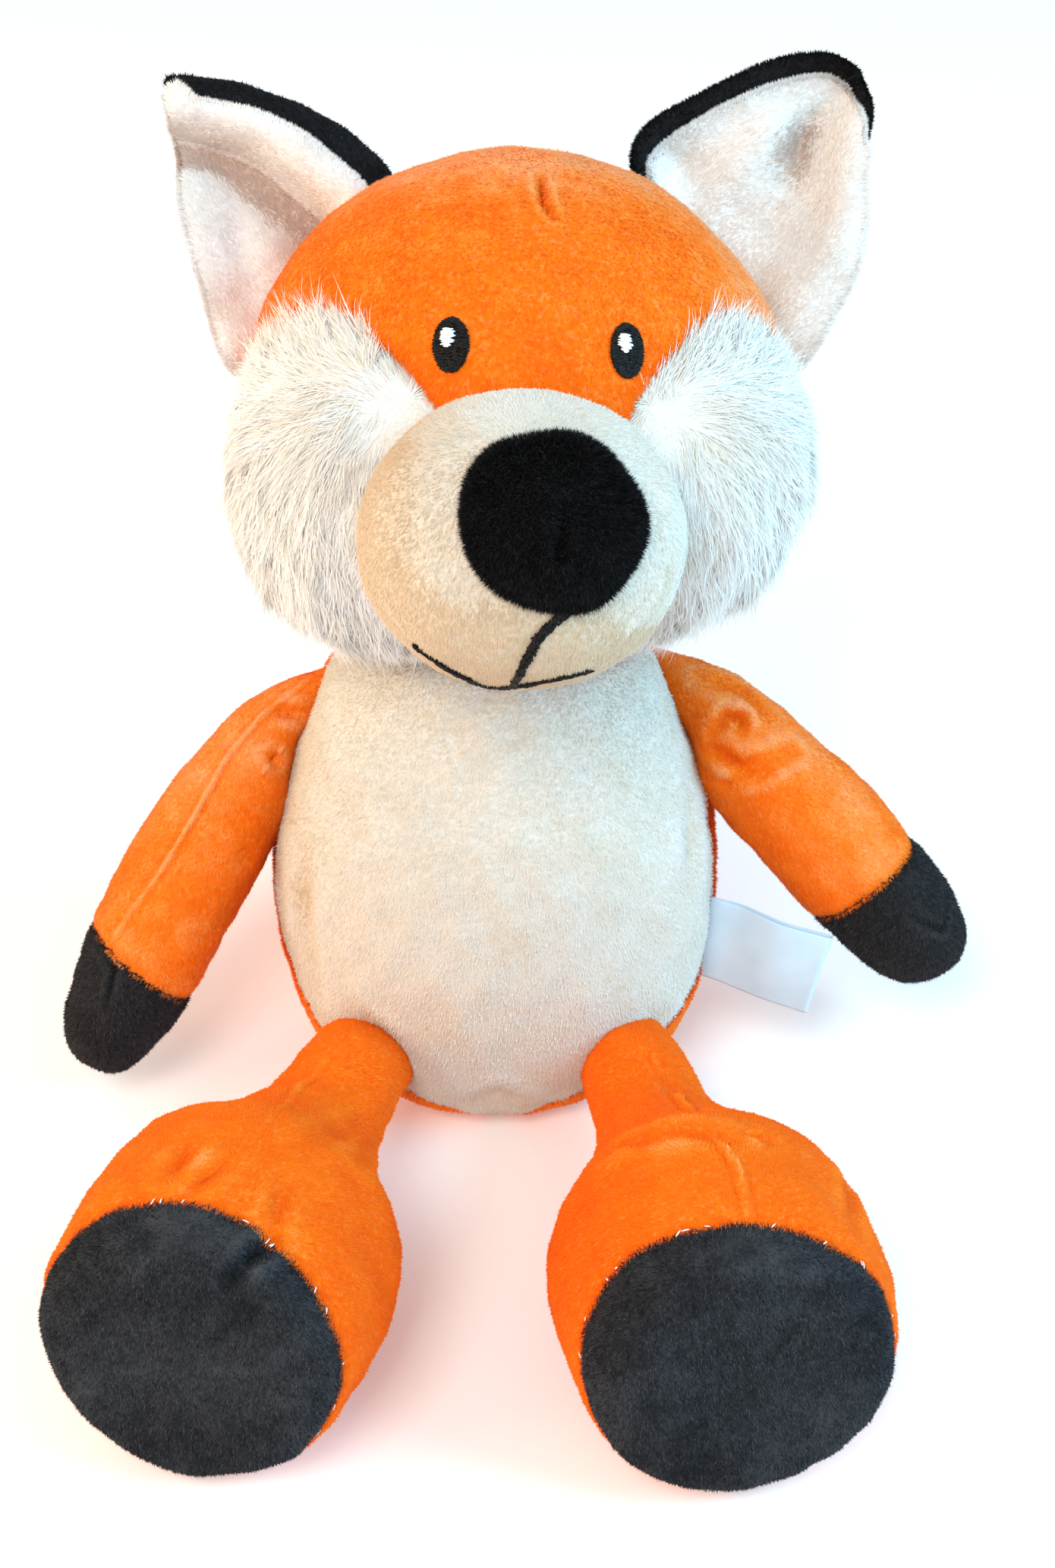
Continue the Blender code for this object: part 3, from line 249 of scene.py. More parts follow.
MOUTH_STEP = 0.0008
STEM_WIDTHS = (0.0031, 0.0020)
SMILE_END_WIDTH = 0.0014
SMILE_SWELL = 0.0016
MOUTH_MARGIN = 0.0006
MOUTH_LEAST = 0.0002
MOUTH_STRAY = 0.0006
MOUTH_LIFTS = (0.0002, 0.0007)
MOUTH_STITCHES = (0.0014, 0.0026)
MOUTH_THREADS = (0.0005, 0.0008)

# Ears: outlines in pixels, upper and lower, and the lining's margins above, below and at the tip
EAR_EDGES = {
    "left": (((872, 300), (839, 228), (850, 176), (933, 126), (1008, 92), (1078, 80), (1125, 101)),
             ((1020, 505), (1052, 482), (1090, 424), (1129, 336), (1135, 225), (1144, 146), (1125, 101))),
    "right": (((505, 310), (521, 232), (466, 173), (410, 138), (333, 110), (252, 95), (219, 103)),
              ((345, 500), (302, 478), (267, 370), (241, 272), (237, 205), (224, 140), (219, 103)))}
EAR_MARGINS = {"left": (0.0050, 0.0048, 0.085), "right": (0.0125, 0.0, 0.15)}
EAR_BACK_MARGINS = (0, 0, 0.002)
EAR_FOLD = ((0.0, 0.003), (0.005, -0.0040), (0.0105, -0.0080), (0.0165, -0.0100), (0.0205, -0.0055),
            (0.0240, 0.0070), (0.031, 0.0105), (0.046, 0.0030), (0.070, -0.002))
# How much darker the ear linings are painted in their hollows and dents, as painted shade
EAR_PAINTED_SHADE = -0.42
EAR_RIM = 0.0022
EAR_BEND = (-0.003, 0.014)
EAR_HEM = (0.003, 0.004)
EAR_HOLLOW = (0.0210, 0.0030)
EAR_HOLLOW_END = (0.0255, 0.0160)
EAR_LIP = (0.003, 0.006)
EAR_CUP = 0.0120
EAR_PLEAT = 0.0006
OPEN_DENTS = ((0.0045, 0.50, 0.16, 0.62, 0.10), (0.0045, 0.17, 0.12, 0.36, 0.08),
              (-0.0045, 0.32, 0.10, 0.52, 0.16), (-0.0035, 0.86, 0.10, 0.45, 0.35))
FOLDED_DENTS = ((0.0020, 0.014, 0.006, 0.35, 0.2),)
FOLDED_PLEAT_REACH = 0.02
EAR_LAYERS = (("back", 1, "black", 70000, 0.0012), ("lining", -1, "white", 90000, 0.0016))

# Limbs: end piece, kinds of plush, fibres, mesh and the end's own pile
LIMBS = {"arm": ("paw", ("orange", "soot"), (70000, 36000), (150, 160), {"width": 0.0003, "spread": 0.25}),
         "leg": ("sole", ("orange", "charcoal"), (165000, 80000), (230, 200),
                 {"length": 0.0012, "width": 0.0003, "spread": 0.3, "tones": "sole"}),
         "tail": ("tip", ("orange", "cream"), (60000, 35000), (112, 110), {})}
SLEEVE_TONES = {"arm": "arm", "leg": "leg", "tail": None}
END_NAP = (0.1, 0.1, -1.0)
SOLE_SHIFT = 0.002
THREAD_ENDS = 22
THREAD_LIFT = 0.0009
THREAD_LENGTHS = (0.0009, 0.0024)
THREAD_WIDTH = 0.00042
LIMB_FILLING_START = 0.015
BEND_REACH = {"arm": 0.020, "leg": 0.020, "tail": 0.018}
TAIL_GROOVE = 0.0010
TAIL_GROOVE_TURN = 0.06
LABEL_WAVE = 0.0011
LABEL_CURL = 0.0016
LABEL_WAVE_START = 0.012
LABEL_CURL_START = 0.02

# Studio
FLOOR_REACH = 6.0
FLOOR_PATTERN_SIZE = 0.4
FLOOR_GLOW = ((1.0, 0.985, 0.97, 1), 0.16)
SKY = ((0.95, 0.97, 1.0, 1), 0.60)
LAMP_TARGET = (0, 0, 0.1)
LAMPS = (("key", (-0.45, -0.95, 1.35), 0.7, 13.0, (1.0, 0.94, 0.85)),
         ("warm_fill", (-1.3, -0.3, 0.5), 0.9, 13.0, (1.0, 0.66, 0.34)),
         ("cool_fill", (1.3, -0.3, 0.85), 0.9, 24.0, (0.32, 0.74, 1.0)))

# Colours of the pile, from dark to light; the darkest and palest entries also carry the painted shade and
# painted highlights of the tones
ORANGE = ((0.88, 0.118, 0.001), (0.91, 0.142, 0.001), (0.93, 0.168, 0.002), (0.94, 0.205, 0.010),
          (0.95, 0.29, 0.055), (0.95, 0.39, 0.15))
CREAM = ((0.60, 0.46, 0.31), (0.67, 0.59, 0.48), (0.71, 0.67, 0.60), (0.75, 0.74, 0.70))
# WHITE's darkest, tan entry is there for the painted shade in the ears' hollows and dents
WHITE = ((0.62, 0.49, 0.42), (0.86, 0.82, 0.78), (0.91, 0.90, 0.89), (0.94, 0.94, 0.95))
FUR = ((0.76, 0.68, 0.57), (0.80, 0.75, 0.67), (0.82, 0.80, 0.75), (0.84, 0.83, 0.81), (0.89, 0.89, 0.89))
BLACK = ((0.001, 0.001, 0.0012), (0.003, 0.003, 0.0035), (0.008, 0.008, 0.009), (0.02, 0.02, 0.022))
SOOT = ((0.005, 0.005, 0.006), (0.012, 0.012, 0.013), (0.022, 0.021, 0.023), (0.045, 0.043, 0.046))
CHARCOAL = ((0.006, 0.007, 0.009), (0.015, 0.016, 0.020), (0.029, 0.031, 0.037), (0.060, 0.064, 0.073))
PEACH = (1.0, 0.62, 0.32)
PALE = (1.0, 0.97, 0.93)
COOL = (0.55, 0.62, 0.75)
NEUTRAL = (1.0, 1.0, 1.0)

# Kinds of plush: slot, colours, sheen and its tint, and how much tone and turn differ from fibre to fibre
KINDS = {"orange": ("orange_plush", ORANGE, 0.18, PEACH, 0.055, 0.12),
         "cream": ("cream_plush", CREAM, 0.15, PALE, 0.05, 0.10),
         "white": ("white_plush", WHITE, 0.15, PALE, 0.05, 0.12),
         "fur": ("cheek_pile", FUR, 0.15, PALE, 0.0, 0.0),
         "black": ("black_plush", BLACK, 0.02, COOL, 0.30, 0.35),
         "soot": ("black_plush", SOOT, 0.03, COOL, 0.30, 0.35),
         "charcoal": ("charcoal_plush", CHARCOAL, 0.06, COOL, 0.30, 0.35)}

# Other cloths: two colours, their pattern, the relief's pattern and height, roughness and sheen
CLOTHS = {
    "black_thread": (((0.001, 0.001, 0.001), (0.013, 0.013, 0.014)), (0.0012, 2), (0.00025, 1),
                     0.00015, 0.42, 0.0),
    "white_thread": (((0.75, 0.75, 0.76), (0.92, 0.92, 0.93)), (0.0012, 2), (0.00025, 1),
                     0.00015, 0.42, 0.2),
    "satin_ribbon": (((0.58, 0.73, 0.85), (0.66, 0.80, 0.92)), (0.012, 2), (0.0003, 1, 0.5, (1, 1, 6)),
                     0.00008, 0.38, 0.3),
    "stuffing": (((0.82, 0.82, 0.80), (0.93, 0.93, 0.92)), (0.004, 4, 0.7), (0.001, 3, 0.7),
                 0.0008, 1.0, 0.4),
    "bean_cloth": (((0.45, 0.40, 0.33), (0.60, 0.55, 0.47)), (0.0012, 4, 0.7), (0.0003, 3, 0.7),
                   0.0003, 1.0, 0.4)}
SPECULAR_SHARE = 0.15
SHEEN_ROUGHNESS_SHARE = 0.35
BRUSHED_SIZE = 0.009
STREAK_SIZE = 0.0022
GRAIN_SIZE = 0.00055
COARSE_SIZE = 0.0035
COARSE_RISE = 0.0003
FINE_SIZE = 0.0007
FINE_RISE = 0.0002

# Pile and tones
PILE_LENGTH = 0.0014
PILE_WIDTH = 0.00046
PILE_NAP = (0, 0.25, -1)
PILE_LEAN_SHARE = 0.74
PILE_SPREAD_SHARE = 0.13
PILE_SINK = 0.0002
FRINGE_REACH = 0.0014
PATCH_SIZE = 0.017
# Painted light along folds: per metre of fold, raised lips are painted lighter as a highlight and grooves
# darker as shade
RIDGE_PAINTED_HIGHLIGHT = 420
GROOVE_PAINTED_SHADE = 150
CREASE_END_SHARE = 0.35
CREASE_DEPTH_SHARE = 1.15
CREASE_LIP_SHARE = 0.45
CREASE_LIP_WIDTHS = 2.1

# Unevenness of pieces and of tones: height, size and seed of each layer of ripples
RIPPLES = {"torso": ((0.0007, 0.034, 11), (0.00035, 0.012, 12)),
           "cap": ((0.0007, 0.040, 31), (0.0003, 0.013, 32)),
           "muzzle": ((0.0006, 0.026, 41), (0.00025, 0.009, 42)), "nose": ((0.0009, 0.020, 44),),
           "cheek_left": ((0.0009, 0.022, 51),), "cheek_right": ((0.0009, 0.022, 52),),
           "ear": ((0.0004, 0.013, 71),), "arm": ((0.0006, 0.024, 81), (0.0003, 0.009, 82)),
           "leg": ((0.0008, 0.030, 91), (0.00035, 0.011, 92)), "tail": ((0.0008, 0.022, 101),),
           "beans": ((0.0004, 0.005, 14),), "filling": ((0.0003, 0.009, 5),),
           "arm_tone": ((0.12, 0.05, 17),), "leg_tone": ((0.08, 0.05, 18),),
           "sole_tone": ((0.22, 0.040, 20), (0.14, 0.007, 19))}

# Dips beside seams: depth, how far from the seam the middle is, and width
DIPS = {"belly": (0.0007, 0.0, 0.0022), "cap_snout": (0.0006, 0.0, 0.0025),
        "cap_cheek": (0.001, 0.0, 0.003), "nose_rim": (0.0022, 0.001, 0.006),
        "nose_ring": (-0.0009, 0.014, 0.007), "snout_root": (0.0004, 0.002, 0.003),
        "nose_root": (0.0008, 0.0, 0.002), "limb": (0.0011, 0.0, 0.0018)}

# Tones of covers: their level, then patches of a strength that fade in along axes, from a start over a width.
# The patches are mostly painted light: a painted highlight on the front of the cap's crown and of its left
# flank, painted shade on the muzzle's right side and underside and on the belly's right side and bottom, and
# painted highlights on the upward faces of the arms and on the tops of the feet; the cap also has a darker
# patch low in the middle of the forehead.
TONES = {"cap": (-0.10, (0.72, ("z", 0.036, 0.032), ("y", 0.034, -0.045)),
                 (0.60, ("x", 0.032, 0.036), ("y", 0.034, -0.045)),
                 (-0.10, ("z", 0.022, -0.02), ("aside", 0.045, -0.02))),
         "muzzle": (0.12, (-0.60, ("x", -0.012, -0.030)), (-0.62, ("z", -0.048, -0.026))),
         "belly": (0.12, (-0.35, ("x", -0.036, -0.028)), (-0.2, ("z", 0.03, -0.03))),
         "arm": (0.01, (0.20, ("up", 0.0, 1.0))),
         "leg": (-0.26, (0.10, ("z", 0.055, 0.02), ("y", -0.075, -0.02), ("up", 0.0, 1.0))),
         "sole": (0.0,)}

# Folds and raised seams of each piece: the line that the camera sees, in pixels, a width and a depth
CREASES = {
    "torso": ((((400, 1130), (402, 1210), (415, 1290)), 0.0035, 0.0011),
              (((905, 1010), (912, 1100), (902, 1190)), 0.0035, 0.0010),
              (((425, 1355), (455, 1395)), 0.0022, 0.0012), (((470, 1330), (520, 1385)), 0.0040, 0.0011),
              (((870, 1340), (820, 1395)), 0.0040, 0.0011),
              (((600, 1455), (655, 1440), (720, 1452)), 0.0030, 0.0008)),
    "cap": ((((711, 230), (716, 262), (729, 284)), 0.0013, 0.0020),
            (((690, 250), (703, 285)), 0.0020, 0.0005)),
    "muzzle": ((((497, 775), (520, 815), (552, 850)), 0.0008, -0.0006),
               (((878, 690), (868, 772), (830, 822), (765, 880)), 0.0008, -0.0006)),
    "nose": ((((744, 660), (736, 730), (738, 815)), 0.0014, 0.0024),),
    "arm_right": ((((365, 935), (405, 940)), 0.0018, 0.0016), (((358, 996), (396, 1012)), 0.0016, 0.0022),
                  (((412, 892), (344, 945), (298, 1000), (256, 1075), (213, 1145), (150, 1235)),
                   0.0008, -0.0009),
                  (((118, 1235), (92, 1290), (80, 1370)), 0.0009, 0.0014)),
    "arm_left": ((((925, 893), (975, 905), (1010, 940)), 0.0022, 0.0014),
                 (((940, 962), (956, 942), (978, 944), (976, 962)), 0.0015, 0.0022),
                 (((940, 985), (975, 1010), (1040, 985)), 0.0020, 0.0022),
                 (((958, 1030), (1000, 1020), (1050, 990)), 0.0018, 0.0016),
                 (((1248, 1180), (1240, 1225), (1262, 1260)), 0.0010, 0.0012)),
    "leg_right": ((((520, 1478), (455, 1490), (400, 1512)), 0.0030, 0.0010),
                  (((505, 1500), (470, 1530)), 0.0024, 0.0010), (((255, 1500), (228, 1545)), 0.0026, 0.0014),
                  (((300, 1530), (250, 1570)), 0.0022, 0.0012), (((372, 1560), (360, 1622)), 0.0022, 0.0014),
                  (((430, 1395), (395, 1430), (352, 1478)), 0.0009, -0.0007),
                  (((362, 1635), (335, 1650), (300, 1685)), 0.0020, 0.0026)),
    "leg_left": ((((850, 1500), (905, 1490), (960, 1498)), 0.0030, 0.0016),
                 (((985, 1490), (1010, 1500)), 0.0020, 0.0016), (((800, 1520), (850, 1500)), 0.0024, 0.0014),
                 (((862, 1392), (894, 1447), (940, 1493)), 0.0008, -0.0009),
                 (((940, 1493), (972, 1538), (986, 1600)), 0.0008, -0.0009),
                 (((1090, 1520), (1120, 1570), (1125, 1620)), 0.0026, 0.0012),
                 (((1010, 1700), (1080, 1720)), 0.0040, 0.0008))}

TINY = 1e-4


def unit(vectors):
    """Vectors of length one."""
    return vectors / np.maximum(np.linalg.norm(vectors, axis=-1, keepdims=True), 1e-12)


def smooth_step(value):
    """A rise from 0 to 1 that starts and ends level."""
    value = np.clip(value, 0, 1)
    return value * value * (3 - 2 * value)


def bell(value):
    """One at 0, and near 0 beyond 2 either way."""
    return np.exp(-value * value)


def fade(value, start, width):
    """A rise from 0 at a start to 1 a width further on, downward for a width below 0."""
    return smooth_step((value - start) / width)


def dots(one, two):
    """The dot product of each pair of rows."""
    return np.einsum("ij,ij->i", one, two)


def level(vectors, normals):
    """Unit directions of vectors, square to the normals."""
    return unit(vectors - normals * dots(vectors, normals)[:, None])


def swell(stations, share):
    """Values at shares of the length, on a smooth curve through the stations."""
    places = np.array([station[0] for station in stations])
    heights = np.array([station[1] for station in stations])
    share = np.clip(share, places[0], places[-1])
    index = np.searchsorted(places[1:-1], share, side="left")
    before = np.maximum(np.arange(len(places)) - 1, 0)
    after = np.minimum(np.arange(len(places)) + 1, len(places) - 1)
    slopes = (heights[after] - heights[before]) / (places[after] - places[before])
    span = places[index + 1] - places[index]
    part = (share - places[index]) / span
    bend = part * (1 - part) * span
    rise = heights[index] + (heights[index + 1] - heights[index]) * smooth_step(part)
    return rise + bend * (slopes[index] * (1 - part) - slopes[index + 1] * part)


def ripples(points, size, seed, waves=7):
    """Smooth bumps of about a size, from -1 to 1."""
    draw = np.random.default_rng(seed)
    total = np.zeros(len(points))
    for _ in range(waves):
        way = unit(draw.normal(size=3))
        total += np.sin(points @ way * (2 * math.pi / size) + draw.uniform(0, 2 * math.pi))
    return total / waves ** 0.5 / 1.6


def uneven(name, points):
    """The ripples of a piece or a tone at points."""
    return sum(height * ripples(points, size, seed) for height, size, seed in RIPPLES[name])


def dip(name, gap):
    """How deep a dip is at distances from its seam."""
    depth, start, width = DIPS[name]
    return depth * bell((gap - start) / width)


@dataclass
class Form:
    """A stuffed form: rings along a path that swell and taper, and close round at both ends."""

    path: np.ndarray
    side: np.ndarray
    half_width: float
    half_depth: float
    width_shares: tuple = EVEN_SHARES
    depth_shares: tuple = EVEN_SHARES
    start_bluntness: float = 1.0
    end_bluntness: float = 1.0
    pinch: float = 0.0
    shear: bool = False
    settle_height: float = 0.0
    sink: float = 0.0

    def along(self, share):
        """Points of the path at shares of its length."""
        share = np.asarray(share, float)[..., None]
        rest = 1 - share
        start, leave, arrive, end = self.path
        ends = start * rest ** 3 + leave * 3 * rest ** 2 * share
        return ends + arrive * 3 * rest * share ** 2 + end * share ** 3

    def heading(self, share):
        """Unit directions of the path."""
        low = np.clip(share, 0, 1)
        return unit(self.along(low + TINY) - self.along(low - TINY))

    def length(self):
        """Straight length from end to end."""
        return np.linalg.norm(self.path[3] - self.path[0])

    def axes(self, share):
        """Width and depth directions of the rings."""
        heading = self.heading(share)
        square = unit(self.side - heading * (heading @ self.side)[..., None])
        turned = smooth_step(np.asarray(share) / SHEAR_SHARE) if self.shear else np.ones(np.shape(share))
        width = unit(self.side + (square - self.side) * turned[..., None])
        return width, unit(np.cross(heading, width))

    def settled(self, points, inset):
        """The points pressed up by the floor."""
        if self.sink <= 0:
            return points
        height = points[:, 2] - inset
        travel = self.settle_height + self.sink
        room = self.settle_height + FLOOR_CUT
        left = np.maximum(1 - (self.settle_height - height) / travel, 0)
        pressed = self.settle_height - room * (1 - left ** (travel / room))
        points[:, 2] = np.where(height < self.settle_height, pressed, height) + inset
        return points

    def point(self, spot, turn, inset=0.0):
        """Surface points: spots from 0 to 1 end to end, turns round the path, inset below the surface."""
        spot = np.atleast_1d(np.asarray(spot, float))
        turn = np.atleast_1d(np.asarray(turn, float))
        start = inset / self.length()
        share = start + spot * (1 - 2 * start)
        bluntness = np.where(spot < 0.5, self.start_bluntness, self.end_bluntness)
        round_off = (2 * np.sqrt(np.maximum(spot * (1 - spot), 0))) ** bluntness
        half_width = self.half_width * swell(self.width_shares, share) - inset
        half_depth = self.pinch + (self.half_depth - self.pinch) * swell(self.depth_shares, share) - inset
        width, depth = self.axes(share)
        ring = width * (half_width * np.cos(turn))[:, None] + depth * (half_depth * np.sin(turn))[:, None]
        return self.settled(self.along(share) + ring * round_off[:, None], inset)

    def normal(self, spot, turn):
        """Unit outward direction at one place of the surface."""
        along = self.point(spot + 0.001, turn)[0] - self.point(spot - 0.001, turn)[0]
        across = self.point(spot, turn + 0.001)[0] - self.point(spot, turn - 0.001)[0]
        outward = unit(np.cross(across, along))
        return outward if outward @ (self.point(spot, turn)[0] - self.along(spot)) > 0 else -outward

    def gap(self, points, grow=0.0):
        """How far points are outside a straight form that is grown, about, and below 0 inside it."""
        heading = self.heading(0.5)
        width, depth = self.axes(0.5)
        away = points - self.path[0]
        length = self.length()
        share = away @ heading / length
        start = -grow / length
        spot = np.clip((share - start) / (1 - 2 * start), 0.0005, 0.9995)
        bluntness = np.where(spot < 0.5, self.start_bluntness, self.end_bluntness)
        round_off = (2 * np.sqrt(spot * (1 - spot))) ** bluntness
        half_width = (self.half_width * swell(self.width_shares, share) + grow) * round_off
        half_depth = (self.half_depth * swell(self.depth_shares, share) + grow) * round_off
        wide = away @ width
        deep = away @ depth
        ratio = np.sqrt((wide / half_width) ** 2 + (deep / half_depth) ** 2) + TINY
        radial = np.hypot(wide, deep) * (1 - 1 / ratio)
        beyond = np.maximum(share - 1 + start, start - share) * length
        return np.where((share > start) & (share < 1 - start), radial, np.maximum(beyond, radial))


def straight_path(start, end):
    """The four points of a straight path."""
    return np.array([start, start + (end - start) / 3, end - (end - start) / 3, end])


@dataclass
class Skin:
    """A surface in the making: points, triangles, and values at the points that seams are cut from."""

    points: np.ndarray
    tris: np.ndarray
    values: dict = field(default_factory=dict)

    def facets(self):
        """A vector square to each triangle, twice its area long."""
        corners = self.points[self.tris]
        return np.cross(corners[:, 1] - corners[:, 0], corners[:, 2] - corners[:, 0])

    def normals(self):
        """Outward directions at the points."""
        flat = self.facets()
        total = np.zeros_like(self.points)
        for corner in range(3):
            np.add.at(total, self.tris[:, corner], flat)
        return unit(total)

    def at(self, values, pick, parts):
        """Values between the corners of picked triangles."""
        return np.einsum("ij,ij...->i...", parts, values[self.tris][pick])

    def scattered(self, count, draw, favour=1.0):
        """Random places all over the surface: triangles, shares of their corners, and points."""
        chance = np.linalg.norm(self.facets(), axis=1) * favour
        pick = draw.choice(len(chance), size=count, p=chance / chance.sum())
        mix = draw.random((count, 2))
        mix = np.where(mix.sum(axis=1, keepdims=True) > 1, 1 - mix, mix)
        parts = np.stack([1 - mix.sum(axis=1), mix[:, 0], mix[:, 1]], axis=1)
        return pick, parts, self.at(self.points, pick, parts)

    def raised(self, offset):
        """The surface moved out by an offset at each point, and kept above the floor."""
        points = self.points + self.normals() * np.asarray(offset)[:, None]
        if self.points[:, 2].min() > -2 * FLOOR_CUT:
            points[:, 2] = np.maximum(points[:, 2], 0)
        return Skin(points, self.tris, dict(self.values))

    def clipped(self, name):
        """The part of the surface where a value is above 0, cut along its line of 0."""
        cutting = self.values[name]
        keep = cutting > 0
        count = keep[self.tris].sum(axis=1)
        tris = [self.tris[count == 3]]
        edges = {}
        first = []
        second = []

        def between(inside, outside):
            key = (inside, outside)
            if key not in edges:
                edges[key] = len(self.points) + len(first)
                first.append(inside)
                second.append(outside)
            return edges[key]

        made = []
        for tri in self.tris[(count == 1) | (count == 2)].tolist():
            kept = [bool(keep[corner]) for corner in tri]
            turn = kept.index(sum(kept) == 1)
            one, two, three = tri[turn:] + tri[:turn]
            if sum(kept) == 1:
                made.append((one, between(one, two), between(one, three)))
            else:
                left = between(two, one)
                right = between(three, one)
                made += [(left, two, three), (left, three, right)]
        if made:
            tris.append(np.array(made))
        tris = np.concatenate(tris)
        first = np.array(first, int)
        second = np.array(second, int)
        part = cutting[first] / np.maximum(cutting[first] - cutting[second], 1e-12)

        def extended(array):
            shaped = part.reshape((-1,) + (1,) * (array.ndim - 1))
            return np.concatenate([array, array[first] * (1 - shaped) + array[second] * shaped])

        used = np.unique(tris)
        places = np.full(len(self.points) + len(first), -1)
        places[used] = np.arange(len(used))
        values = {key: extended(array)[used] for key, array in self.values.items()}
        return Skin(extended(self.points)[used], places[tris], values)

    def hemmed(self):
        """The surface with its open edges turned in."""
        rim = open_edges(self.tris)
        if not len(rim):
            return self
        border = np.unique(rim)
        places = np.full(len(self.points), -1)
        places[border] = len(self.points) + np.arange(len(border))
        inner = self.points[border] - self.normals()[border] * HEM_DEPTH
        one, two = rim.T
        more = np.concatenate([np.stack([two, one, places[one]], axis=1),
                               np.stack([two, places[one], places[two]], axis=1)])
        values = {key: np.concatenate([array, array[border]]) for key, array in self.values.items()}
        return Skin(np.concatenate([self.points, inner]), np.concatenate([self.tris, more]), values)

    def tree(self):
        """A tree of the surface, for rays and nearest points."""
        return BVHTree.FromPolygons(self.points.tolist(), self.tris.tolist())


def open_edges(tris):
    """The edges that only one triangle has."""
    edges = np.concatenate([tris[:, [0, 1]], tris[:, [1, 2]], tris[:, [2, 0]]])
    _, places, counts = np.unique(np.sort(edges, axis=1), axis=0, return_index=True, return_counts=True)
    return edges[places[counts == 1]]


def facing_out(points, faces):
    """The triangles of a closed surface, turned so that they face outward."""
    corners = points[faces] - points[0]
    inward = np.einsum("ij,ij->", corners[:, 0], np.cross(corners[:, 1], corners[:, 2])) < 0
    return faces[:, ::-1].copy() if inward else faces


def form_skin(form, around, rings, inset=0.0):
    """The form's surface as a fine closed mesh."""
    spot = np.repeat((1 - np.cos(math.pi * np.arange(1, rings) / rings)) / 2, around)
    turn = np.tile(2 * math.pi * np.arange(around) / around, rings - 1)
    points = np.concatenate([form.point(spot, turn, inset), form.point(0, 0, inset), form.point(1, 0, inset)])
    first, last = len(points) - 2, len(points) - 1
    column = np.arange(around)
    following = (column + 1) % around
    tris = [np.stack([np.full(around, first), following, column], axis=1)]
    for low in range(0, (rings - 2) * around, around):
        high = low + around
        tris.append(np.stack([low + column, low + following, high + following], axis=1))
        tris.append(np.stack([low + column, high + following, high + column], axis=1))
    low = (rings - 2) * around
    tris.append(np.stack([low + column, low + following, np.full(around, last)], axis=1))
    ends = np.array([0.0, 1.0])
    values = {"spot": np.concatenate([spot, ends]), "turn_cosine": np.concatenate([np.cos(turn), ends * 0])}
    return Skin(points, facing_out(points, np.concatenate(tris)), values)


def grid_cells(index):
    """The four corners of each cell of a grid of point numbers."""
    return np.stack([index[:-1, :-1], index[1:, :-1], index[1:, 1:], index[:-1, 1:]], axis=-1).reshape(-1, 4)


def mesh_object(name, points, faces, materials):
    """An object for a mesh in world places."""
    mesh = bpy.data.meshes.new(name)
    mesh.vertices.add(len(points))
    mesh.vertices.foreach_set("co", np.asarray(points, np.float32).ravel())
    mesh.loops.add(faces.size)
    mesh.loops.foreach_set("vertex_index", faces.astype(np.int32).ravel())
    mesh.polygons.add(len(faces))
    mesh.polygons.foreach_set("loop_start", np.arange(0, faces.size, faces.shape[1], dtype=np.int32))
    mesh.update(calc_edges=True)
    mesh.shade_smooth()
    for material in materials:
        mesh.materials.append(material)
    thing = bpy.data.objects.new(name, mesh)
    bpy.context.scene.collection.objects.link(thing)
    return thing


# Materials

